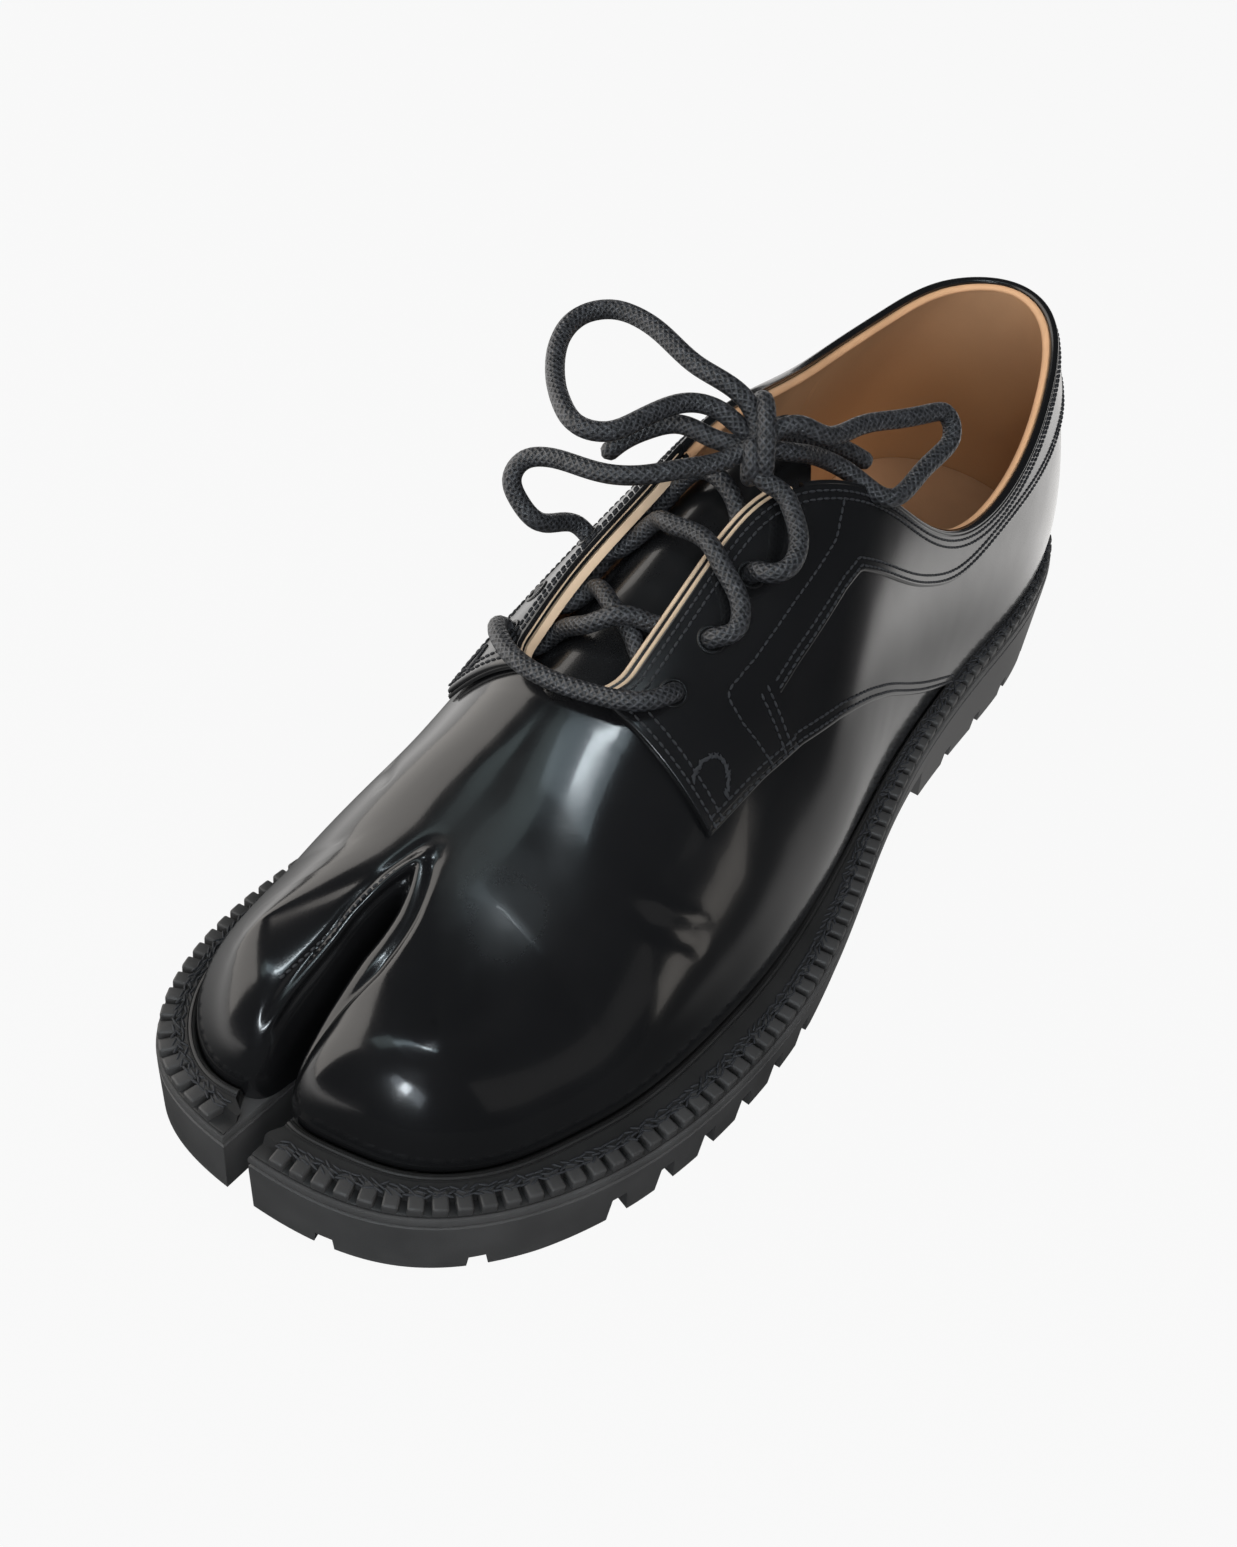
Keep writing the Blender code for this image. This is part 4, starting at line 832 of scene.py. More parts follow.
class Finish(Nodes):
    """One material, built node by node around its Principled shader."""

    def __init__(self, name, **sockets):
        self.material = bpy.data.materials.new(name)
        self.material.use_nodes = True
        super().__init__(self.material.node_tree)
        self.shader = self.tree.nodes["Principled BSDF"]
        for socket, value in sockets.items():
            self.feed(self.shader, socket.replace("_", " "), value)

    def look(self, base, roughness, normal):
        """Feed the shader what varies in every finish, and give the material."""
        for socket, value in (("Base Color", base), ("Roughness", roughness), ("Normal", normal)):
            self.feed(self.shader, socket, value)
        return self.material


def shade(base, factor):
    """A colour made lighter or darker."""
    return tuple(min(1.0, part * factor) for part in base)


def polished_leather(name, base, roughness, wave, worn=None):
    """Brushed, polished leather: soft waves, fine pores, a thin glossy coat and a patch worn dull."""
    made = Finish(name, Coat_Roughness=0.07, Coat_IOR=1.45, IOR=1.5)
    place = made.object_place()
    cloud = made.noise(place, 38.0, 3.0)
    pores = made.noise(place, 2600.0)
    swell = made.noise(place, 75.0, 1.0)
    rough = cloud * 0.12 + (roughness - 0.06) + pores * 0.04
    coat = 0.55 - cloud * 0.25
    if worn:
        ends = {0: place, 1: worn}
        away = made.field("ShaderNodeVectorMath", "Value", {"operation": "DISTANCE"}, ends)
        dull = 1.0 - made.ramp(away + made.noise(place, 110.0) * 0.014, 0.01, 0.026)
        rough = rough + dull * 0.12
        coat = coat - coat * dull * 0.8
    made.feed(made.shader, "Coat Weight", coat)
    normal = made.bump(pores, 0.000018, 0.6, made.bump(swell, wave))
    return made.look(made.mottle(cloud, base, 0.7, 1.5), rough, normal)


def tan_leather(name, base, roughness, painted_shade_low=0.0):
    """Smooth undyed lining leather with pores and a soft mottle, and painted shade that makes it deeper in
    tone low in the shoe.
    """
    made = Finish(name, Specular_IOR_Level=0.35)
    place = made.object_place()
    cloud = made.noise(place, 60.0, 4.0)
    spots = {"Vector": place, "Scale": 1500.0}
    pores = made.field("ShaderNodeTexVoronoi", 0, {"feature": "F1"}, spots)
    height = made.field("ShaderNodeSeparateXYZ", "Z", None, {"Vector": place})
    # Painted shade: the lining's colour turns darker and deeper low in the shoe, where shade falls
    sunk = 1.0 - made.ramp(height, 0.045, 0.085)
    deep = (base[0] * 0.82, base[1] * 0.7, base[2] * 0.56)
    tone = made.mix(sunk * painted_shade_low, made.mottle(cloud, base, 0.85, 1.25), deep)
    normal = made.bump(pores + cloud * 0.6, 0.00006, 0.5)
    return made.look(tone, roughness + cloud * 0.15, normal)


def moulded_rubber(name, base, roughness):
    """Moulded rubber with a fine matt grain and lighter scuffs."""
    made = Finish(name, Specular_IOR_Level=0.45)
    place = made.object_place()
    cloud = made.noise(place, 90.0, 4.0)
    grain = made.noise(place, 3200.0)
    normal = made.bump(grain + cloud * 0.5, 0.00004, 0.6)
    return made.look(made.mottle(cloud, base, 0.75, 1.7), roughness + cloud * 0.14, normal)


def waxed_braid(name, base):
    """Round braid: two sets of strands that wind opposite ways, pressed flat by wax."""
    made = Finish(name, Specular_IOR_Level=0.75)
    uv = made.node("ShaderNodeUVMap", {"uv_map": "braid"}).outputs["UV"]
    apart = made.node("ShaderNodeSeparateXYZ", None, {"Vector": uv})
    around = Field(made.tree, apart.outputs["X"]) * (2.0 * math.pi * 8.0)
    along = Field(made.tree, apart.outputs["Y"]) * (2.0 * math.pi * 2.6)
    strands = (around + along).sine().most((around - along).sine())
    wax = made.noise(made.object_place(), 1100.0, 4.0)
    # Painted highlight: the lace's colour is lighter on the strands' crowns and in wax specks, and darker
    # between the strands
    braid_painted_highlight = strands * 0.3 + made.ramp(wax, 0.35, 0.75) * 0.7
    normal = made.bump(strands * 0.5 + wax * 0.35, 0.00022, 0.9)
    return made.look(made.mottle(braid_painted_highlight, base, 0.4, 3.2), 0.6 - wax * 0.36, normal)


def twisted_thread(name, base):
    """Waxed sewing thread with its fine fibres."""
    made = Finish(name, Specular_IOR_Level=0.4)
    fibre = made.noise(made.object_place(), 4200.0)
    normal = made.bump(fibre, 0.00005, 0.6)
    return made.look(made.mottle(fibre, base, 0.7, 1.6), 0.5 + fibre * 0.2, normal)


# Finishes: maker, colour of the panel, how much lighter or darker it is, and the maker's own values
FINISHES = {
    "vamp_leather": (polished_leather, "leather", 1.0, 0.16, 0.00022, WORN_PLACE),
    "quarter_leather": (polished_leather, "leather", 1.0, 0.22, 0.00016),
    "facing_leather": (polished_leather, "leather", 1.0, 0.22, 0.00014),
    "tongue_leather": (polished_leather, "leather", 1.2, 0.26, 0.0002),
    # The lining's last value sets how strong its painted shade low in the shoe is
    "lining_leather": (tan_leather, "lining", 1.0, 0.45, 1.0),
    "edge_leather": (tan_leather, "edge", 1.0, 0.5),
    "rim_leather": (tan_leather, "lining", 1.5, 0.5),
    "insole_leather": (tan_leather, "lining", 0.92, 0.5),
    "sole_rubber": (moulded_rubber, "rubber", 1.0, 0.42),
    # Teeth and welt band are copies of one rubber: the teeth are lighter as painted light, and the band is
    # darker, partly its own dark tone and partly painted shade between the teeth
    "tooth_rubber": (moulded_rubber, "rubber", 0.8, 0.36),
    "welt_rubber": (moulded_rubber, "rubber", 0.35, 0.38),
    "lace_braid": (waxed_braid, "lace", 1.0),
    "black_thread": (twisted_thread, "lace", 1.35),
}
MATERIALS = {}


def material(name):
    """A material by name, made the first time it is asked for."""
    if name not in MATERIALS:
        maker, tone, factor, *values = FINISHES[name]
        MATERIALS[name] = maker(name, shade(colour(tone), factor), *values)
    return MATERIALS[name]


def new_object(name, data):
    """An object in the scene that holds the data."""
    made = bpy.data.objects.new(name, data)
    bpy.context.scene.collection.objects.link(made)
    return made


def place_piece(name, mesh, finish, nodes=()):
    """Link a finished mesh as a piece of the shoe."""
    mesh.materials.clear()
    mesh.materials.append(material(finish))
    made = new_object(name, mesh)
    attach(made, BODY)
    if nodes:
        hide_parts(*nodes)
    return made


def mesh_from(name, points, faces, sharp=50.0):
    """Mesh from points in millimetres, with smooth faces that point outwards and hard edges kept."""
    mesh = bpy.data.meshes.new(name)
    mesh.from_pydata((np.asarray(points) * MM).tolist(), [], faces)
    return tidy_mesh(mesh, sharp)


def tidy_mesh(mesh, sharp=50.0):
    """Merge doubles, turn the faces outwards and shade the mesh smooth."""
    bm = bmesh.new()
    bm.from_mesh(mesh)
    bmesh.ops.remove_doubles(bm, verts=bm.verts, dist=MERGE)
    bmesh.ops.dissolve_degenerate(bm, edges=bm.edges, dist=MERGE / 4.0)
    bmesh.ops.recalc_face_normals(bm, faces=bm.faces)
    bm.to_mesh(mesh)
    bm.free()
    mesh.shade_smooth()
    mesh.set_sharp_from_angle(angle=math.radians(sharp))
    return mesh


def mesh_of(name, bm):
    """A mesh from an edit mesh, which is freed."""
    mesh = bpy.data.meshes.new(name)
    bm.to_mesh(mesh)
    bm.free()
    return mesh


def baked(made):
    """An object's mesh with its modifiers applied."""
    view = bpy.context.evaluated_depsgraph_get()
    return bpy.data.meshes.new_from_object(made.evaluated_get(view))


def add_points(bm, points):
    """New points of an edit mesh, given in millimetres."""
    return [bm.verts.new(Vector(point) * MM) for point in points]


def add_walls(bm, rows):
    """Faces between closed rows of points, each row with the next one."""
    for lower, upper in zip(rows, rows[1:]):
        for i in range(len(lower)):
            k = (i + 1) % len(lower)
            bm.faces.new((lower[i], lower[k], upper[k], upper[i]))


def add_caps(bm, rows, places):
    """Close the first and last row, with faces cut across the shoe at the places given."""
    caps = [bm.faces.new(rows[0][::-1]), bm.faces.new(rows[-1])]
    for y in places:
        edges = {edge for cap in caps for edge in cap.edges}
        verts = {vert for cap in caps for vert in cap.verts}
        cut = bmesh.ops.bisect_plane(bm, geom=[*caps, *edges, *verts], dist=1e-6,
                                     plane_co=(0.0, y * MM, 0.0), plane_no=(0.0, 1.0, 0.0))
        caps = [part for part in cut["geom"] if isinstance(part, bmesh.types.BMFace)]
    bmesh.ops.triangulate(bm, faces=caps)


def relax(bm, apart, reach, times):
    """Smooth the points of an edit mesh that are closer to a line than the reach."""
    verts = [vert for vert, gap in zip(bm.verts, apart) if gap < reach]
    for _ in range(times):
        bmesh.ops.smooth_vert(bm, verts=verts, factor=0.5, use_axis_x=True, use_axis_y=True,
                              use_axis_z=True)


def shell(name, outer, inner):
    """Closed sheet between two grids of points."""
    rows, columns, _ = outer.shape
    points = np.vstack((outer.reshape(-1, 3), inner.reshape(-1, 3)))
    under = rows * columns
    far = (rows - 1) * columns
    end = columns - 1
    faces = []
    for i in range(rows - 1):
        here = i * columns
        there = here + columns
        for k in range(end):
            quad = (here + k, there + k, there + k + 1, here + k + 1)
            faces.append(quad)
            faces.append(tuple(under + v for v in quad[::-1]))
        faces.append((here, under + here, under + there, there))
        faces.append((here + end, there + end, under + there + end, under + here + end))
    for k in range(end):
        faces.append((k, k + 1, under + k + 1, under + k))
        faces.append((far + k + 1, far + k, under + far + k, under + far + k + 1))
    return mesh_from(name, points, faces)


def rod(name, grid, sharp=60.0):
    """Closed rod from a row of outlines."""
    count, columns, _ = grid.shape
    faces = [(i * columns + k, (i + 1) * columns + k, (i + 1) * columns + (k + 1) % columns,
              i * columns + (k + 1) % columns) for i in range(count - 1) for k in range(columns)]
    faces.append(tuple(range(columns)))
    faces.append(tuple((count - 1) * columns + k for k in range(columns))[::-1])
    return mesh_from(name, grid.reshape(-1, 3), faces, sharp)


def edge_grading(count, low, high, radius=0.7):
    """Places from low to high with extra ones close to both ends, for round edges."""
    close = np.array((0.0, 0.12, 0.3, 0.55, 0.8)) * radius / 0.7
    middle = np.linspace(low + close[-1] + 0.3, high - close[-1] - 0.3, count)
    return np.concatenate((low + close, middle, high - close[::-1]))


def overlay_grid(girths, low, high, lift, radius, rows):
    """Grids of a leather overlay between two shares: outer face with round edges, and under face."""
    span = np.array([chord_knots(last_point(np.full(20, a), np.linspace(b, c, 20)))[-1]
                     for a, b, c in zip(girths, low, high)])
    share = np.array([edge_grading(rows, 0.0, wide, radius) / wide if wide > 4.0
                      else np.linspace(0.0, 1.0, rows + 10) for wide in span])
    grid_a = np.repeat(girths, share.shape[1])
    grid_t = (low[:, None] + (high - low)[:, None] * share).ravel()

    def face(height):
        return last_lifted(grid_a, grid_t, height).reshape(*share.shape, 3)

    inside = np.minimum(share * span[:, None], span[:, None] - share * span[:, None])
    ends = chord_knots(face(lift)[:, rows // 2])
    inside = np.minimum(inside, np.minimum(ends, ends[-1] - ends)[:, None])
    drop = radius - np.sqrt(np.maximum(radius ** 2 - np.maximum(radius - inside, 0.0) ** 2, 0.0))
    return face(lift - drop.ravel()), face(lift - radius - 0.25)


def side_girths(corner=False):
    """Close columns from the heel to the quarter's front edge, in girths of the outer side."""
    behind = (190.0, 190.2, 190.5, 190.8, 191.0) if corner else (190.5,)
    return np.unique(np.concatenate((
        edge_grading(118, 0.15, 186.0), np.linspace(187.0, 189.6, 4), behind,
        np.linspace(192.0, 212.6, 16), (213.3, 213.7, 213.95, 214.1, QUARTER_FRONT))))


def side_edges(girths, inner):
    """Actual girths of one side's columns, and the shares of quarter edge, facing edge and top line."""
    low = np.interp(girths, *np.array(QUARTER_EDGE).T)
    places, shares = np.array(FACING_EDGE).T
    band = np.interp(girths, places, shares)
    rear = places <= FACING_CORNER
    smooth = girths < FACING_CORNER
    band[smooth] = spline(places[rear], shares[rear], girths[smooth])[:, 0]
    actual = inner_girth(girths) if inner else girths
    if inner:
        band = band * opening(actual) / opening(girths)
    foot = np.array([np.interp(QUARTER_FOOT, column[:, 2] - column[0, 2], FOOT_SHARES)
                     for column in foot_columns(actual)])
    low = np.maximum(low, foot)
    band = np.maximum(band, low + 0.015)
    return actual, low, band, opening(actual)


def along_tree():
    """Geometry Nodes that set copies of a piece along seams, each turned to its seam and its surface."""
    name = "Pieces along a seam"
    if name in bpy.data.node_groups:
        return bpy.data.node_groups[name]
    tree = bpy.data.node_groups.new(name, "GeometryNodeTree")
    for socket, kind in (("Geometry", "Geometry"), ("Piece", "Object"), ("Spacing", "Float"),
                         ("Wander", "Float"), ("Seed", "Int"), ("Material", "Material")):
        tree.interface.new_socket(socket, in_out="INPUT", socket_type="NodeSocket" + kind)
    tree.interface.new_socket("Geometry", in_out="OUTPUT", socket_type="NodeSocketGeometry")

    def node(kind, **settings):
        made = tree.nodes.new(kind)
        for setting, value in settings.items():
            setattr(made, setting, value)
        return made

    def attribute(name, kind, target, place):
        made = node("GeometryNodeInputNamedAttribute", data_type=kind)
        made.inputs["Name"].default_value = name
        source = next(s for s in made.outputs if s.enabled and s.name == "Attribute")
        tree.links.new(source, target.inputs[place])

    given = node("NodeGroupInput")
    curve = node("GeometryNodeMeshToCurve")
    spaced = node("GeometryNodeResampleCurve", mode="LENGTH")
    tangent = node("GeometryNodeInputTangent")
    forward = node("FunctionNodeAlignRotationToVector", axis="X")
    upright = node("FunctionNodeAlignRotationToVector", axis="Z", pivot_axis="X")
    wander = node("FunctionNodeRandomValue", data_type="FLOAT")
    opposite = node("ShaderNodeMath", operation="MULTIPLY")
    opposite.inputs[1].default_value = -1.0
    turn = node("ShaderNodeCombineXYZ")
    turned = node("FunctionNodeEulerToRotation")
    rotated = node("FunctionNodeRotateRotation", rotation_space="LOCAL")
    piece = node("GeometryNodeObjectInfo", transform_space="ORIGINAL")
    copies = node("GeometryNodeInstanceOnPoints")
    scale = node("ShaderNodeCombineXYZ")
    scale.inputs["X"].default_value = scale.inputs["Z"].default_value = 1.0
    real = node("GeometryNodeRealizeInstances")
    painted = node("GeometryNodeSetMaterial")
    result = node("NodeGroupOutput")
    attribute("up", "FLOAT_VECTOR", upright, "Vector")
    attribute("stretch", "FLOAT", scale, "Y")
    # The float sockets of a Random Value node share their names with others, so they go by number
    least, most, drawn = 2, 3, 1
    for source, output, target, place in (
            (given, "Geometry", curve, "Mesh"), (curve, "Curve", spaced, "Curve"),
            (given, "Spacing", spaced, "Length"), (tangent, "Tangent", forward, "Vector"),
            (forward, "Rotation", upright, "Rotation"), (given, "Wander", opposite, 0),
            (opposite, 0, wander, least), (given, "Wander", wander, most), (given, "Seed", wander, "Seed"),
            (wander, drawn, turn, "Z"), (turn, "Vector", turned, "Euler"),
            (upright, "Rotation", rotated, "Rotation"), (turned, "Rotation", rotated, "Rotate By"),
            (given, "Piece", piece, "Object"), (spaced, "Curve", copies, "Points"),
            (piece, "Geometry", copies, "Instance"), (rotated, "Rotation", copies, "Rotation"),
            (scale, "Vector", copies, "Scale"), (copies, "Instances", real, "Geometry"),
            (real, "Geometry", painted, "Geometry"), (given, "Material", painted, "Material"),
            (painted, "Geometry", result, "Geometry")):
        tree.links.new(source.outputs[output], target.inputs[place])
    return tree


def set_along(name, lines, piece, spacing, finish, wander=0.0, seed=1):
    """Copies of a piece along lines of points, each with its upward direction and stretch across."""
    mesh = bpy.data.meshes.new(name)
    points, ups, stretches, edges = [], [], [], []
    for line, up, *stretch in lines:
        start = len(points)
        points.extend((np.asarray(line) * MM).tolist())
        ups.extend(np.broadcast_to(up, (len(line), 3)).tolist())
        stretches.extend(np.broadcast_to(stretch[0] if stretch else 1.0, len(line)).tolist())
        edges.extend((start + i, start + i + 1) for i in range(len(line) - 1))
    mesh.from_pydata(points, edges, [])
    mesh.attributes.new("up", "FLOAT_VECTOR", "POINT").data.foreach_set("vector", np.ravel(ups))
    mesh.attributes.new("stretch", "FLOAT", "POINT").data.foreach_set("value", stretches)
    made = new_object(name, mesh)
    tree = along_tree()
    change = made.modifiers.new("along", "NODES")
    change.node_group = tree
    inputs = {"Piece": piece, "Spacing": spacing * MM, "Wander": wander, "Seed": seed,
              "Material": material(finish)}
    for socket in tree.interface.items_tree:
        if socket.in_out == "INPUT" and socket.name in inputs:
            change[socket.identifier] = inputs[socket.name]
    result = baked(made)
    made.modifiers.clear()
    bpy.data.objects.remove(made)
    bpy.data.objects.remove(piece)
    result.name = name
    result.shade_smooth()
    place_piece(name, result, finish)


def small_piece(name, bm):
    """A template object from an edit mesh in millimetres."""
    bmesh.ops.scale(bm, verts=bm.verts, vec=(MM, MM, MM))
    return new_object(name, mesh_of(name, bm))


def stitch_piece(length):
    """One stitch: a short thread whose ends dip into the leather."""
    bm = bmesh.new()
    bmesh.ops.create_uvsphere(bm, u_segments=8, v_segments=6, radius=1.0)
    thread = size("thread")
    bmesh.ops.rotate(bm, verts=bm.verts, cent=(0, 0, 0), matrix=Matrix.Rotation(math.pi / 2.0, 3, "Y"))
    bmesh.ops.scale(bm, verts=bm.verts, vec=(length / 2.0, thread / 2.0, thread / 2.0))
    return small_piece("stitch", bm)


def sew(name, rows, length, spacing, wander, seed):
    """Stitches of one length along rows of points with their upward directions."""
    set_along(name, rows, stitch_piece(length), spacing, "black_thread", wander, seed)


def tube_mesh(name, points, radius):
    """Mesh of a round tube with soft tips, and its braid coordinates as a UV map."""
    tangent = unit(np.gradient(points, axis=0))
    normal = np.cross(tangent[0], UPWARD)
    if np.linalg.norm(normal) < 0.1:
        normal = np.cross(tangent[0], (1.0, 0.0, 0.0))
    along = chord_knots(points)
    near = np.clip(np.minimum(along, along[-1] - along) / radius, 0.02, 1.0)
    widths = radius * np.sqrt(np.clip(1.0 - (1.0 - near) ** 2, 0.0, 1.0))
    turn = np.linspace(0.0, 2.0 * math.pi, LACE_SIDES, endpoint=False)
    rings = []
    for centre, direction, width in zip(points, tangent, widths):
        normal = normal - direction * np.dot(normal, direction)
        normal /= np.linalg.norm(normal)
        other = np.cross(direction, normal)
        rings.append(centre + width * (np.outer(np.cos(turn), normal) + np.outer(np.sin(turn), other)))
    faces = []
    coords = []
    level = along / (2.0 * radius)
    for i in range(len(points) - 1):
        here = i * LACE_SIDES
        there = here + LACE_SIDES
        for k in range(LACE_SIDES):
            after = (k + 1) % LACE_SIDES
            faces.append((here + k, here + after, there + after, there + k))
            left, right = k / LACE_SIDES, (k + 1) / LACE_SIDES
            coords += ((left, level[i]), (right, level[i]), (right, level[i + 1]), (left, level[i + 1]))
    last_ring = (len(points) - 1) * LACE_SIDES
    faces.append(tuple(range(LACE_SIDES))[::-1])
    faces.append(tuple(last_ring + k for k in range(LACE_SIDES)))
    coords += ((0.0, 0.0),) * (2 * LACE_SIDES)
    mesh = bpy.data.meshes.new(name)
    mesh.from_pydata((np.vstack(rings) * MM).tolist(), [], faces)
    mesh.uv_layers.new(name="braid").data.foreach_set("uv", np.ravel(coords))
    mesh.shade_smooth()
    bm = bmesh.new()
    bm.from_mesh(mesh)
    if bm.calc_volume(signed=True) < 0.0:
        bmesh.ops.reverse_faces(bm, faces=bm.faces)
    bm.to_mesh(mesh)
    bm.free()
    return mesh


def skin_columns(rows):
    """Girth and shares of the close columns of the upper; both sides of each top line meet."""
    def matching(wanted, start, end):
        return girth_between(ridge_place(wanted), start, end, count=4000)

    places = ("fork", "lobe corner", "cleft corner")
    fork, corner, mouth = (girth_of(place) for place in places)
    other_fork, other_corner, other_mouth = (girth_of(place, False) for place in places)
    rear = np.linspace(0.0, QUARTER_FRONT, 66)
    outer_vamp = np.linspace(QUARTER_FRONT + 1.6, fork, 30)
    outer_toe = np.linspace(fork, corner, 64)
    outer_front = np.linspace(corner, mouth, 22)
    outer_cleft = matching(outer_toe, ROOT_GIRTH, mouth)[::-1]
    inner_vamp = matching(outer_vamp, inner_girth(QUARTER_FRONT), other_fork)
    inner_toe = np.linspace(other_fork, other_corner, 60)
    inner_front = np.linspace(other_corner, other_mouth, 16)
    inner_cleft = matching(inner_toe, ROOT_GIRTH, other_mouth)
    inner_rear = inner_girth(rear[::-1])[:-1]
    girths = np.concatenate((rear, outer_vamp[:-1], outer_toe[:-1], outer_front[:-1], outer_cleft[:-1],
                             inner_cleft[:-1], inner_front[::-1][:-1], inner_toe[::-1][:-1],
                             inner_vamp[::-1], inner_rear))
    return girths, np.outer(opening(girths), np.linspace(0.0, 1.0, rows))


def cleft_line(outer, level):
    """Girths and shares along one edge of the cleft, mouth to root, where its wall is so steep."""
    girths = np.linspace(girth_of("cleft corner", outer), ROOT_GIRTH + (-0.6 if outer else 0.6), 70)
    shares = np.linspace(0.04, 0.97, 160)
    places = []
    for girth, steep in zip(girths, np.broadcast_to(level, girths.shape)):
        rising = last_normal(np.full(len(shares), girth), shares)[:, 2]
        places.append(shares[int(np.argmax(rising > steep))])
    places = np.minimum(places, 0.86)
    return girths, averaged(places, 5)


def nearest_on(points, line):
    """Distance from each point to the nearest point of a line, and the number of that one."""
    nearest = np.full(len(points), np.inf)
    at = np.zeros(len(points), int)
    for i, place in enumerate(line):
        apart = np.linalg.norm(points - place, axis=1)
        closer = apart < nearest
        nearest[closer] = apart[closer]
        at[closer] = i
    return nearest, at


def relief(points, line, half_width, height, valley=0.0, fade=0.18):
    """Height that a soft ridge or trough along a line adds at each point."""
    half_width, height, valley = (np.broadcast_to(v, len(line)) for v in (half_width, height, valley))
    nearest, at = nearest_on(points, line)
    share = at / (len(line) - 1.0)
    ends = np.clip(np.minimum(share, 1.0 - share) / fade, 0.0, 1.0)
    ends = ends * ends * (3.0 - 2.0 * ends)
    wide = half_width[at]
    form = np.cos(np.minimum(nearest / wide, 1.0) * math.pi / 2.0) ** 2
    groove = np.exp(-((nearest - wide * 1.05) / 0.8) ** 2)
    return ends * (height[at] * form - valley[at] * groove)


def cleft_roll():
    """Line of the cleft's turned edges with its half widths and heights, from one mouth round the root."""
    lines = []
    for outer, table in ((True, OUTER_ROLL), (False, INNER_ROLL)):
        way, level, wide, high = np.array(table).T
        share = np.linspace(0.0, 1.0, 70)
        points = last_point(*cleft_line(outer, np.interp(share, way, level)))
        rows = np.column_stack((points, np.interp(share, way, wide), np.interp(share, way, high)))
        lines.append(rows if outer else rows[::-1])
    rows = np.vstack(lines)
    along = chord_knots(rows[:, :3])
    at = np.arange(0.0, along[-1], 0.35)
    rows = read_rows(at, along, rows)
    return rows[:, :3], rows[:, 3], rows[:, 4]


def slot_ends(half):
    """Distances along the sole's edge to the outer and the inner side of its toe slot."""
    front = SOLE_FINE[:, 1] < TOE_Y
    return [SOLE_EDGE[:-1][front][np.argmin(np.abs(SOLE_FINE[front, 0] - x))]
            for x in (SLOT_CENTRE + half, SLOT_CENTRE - half)]


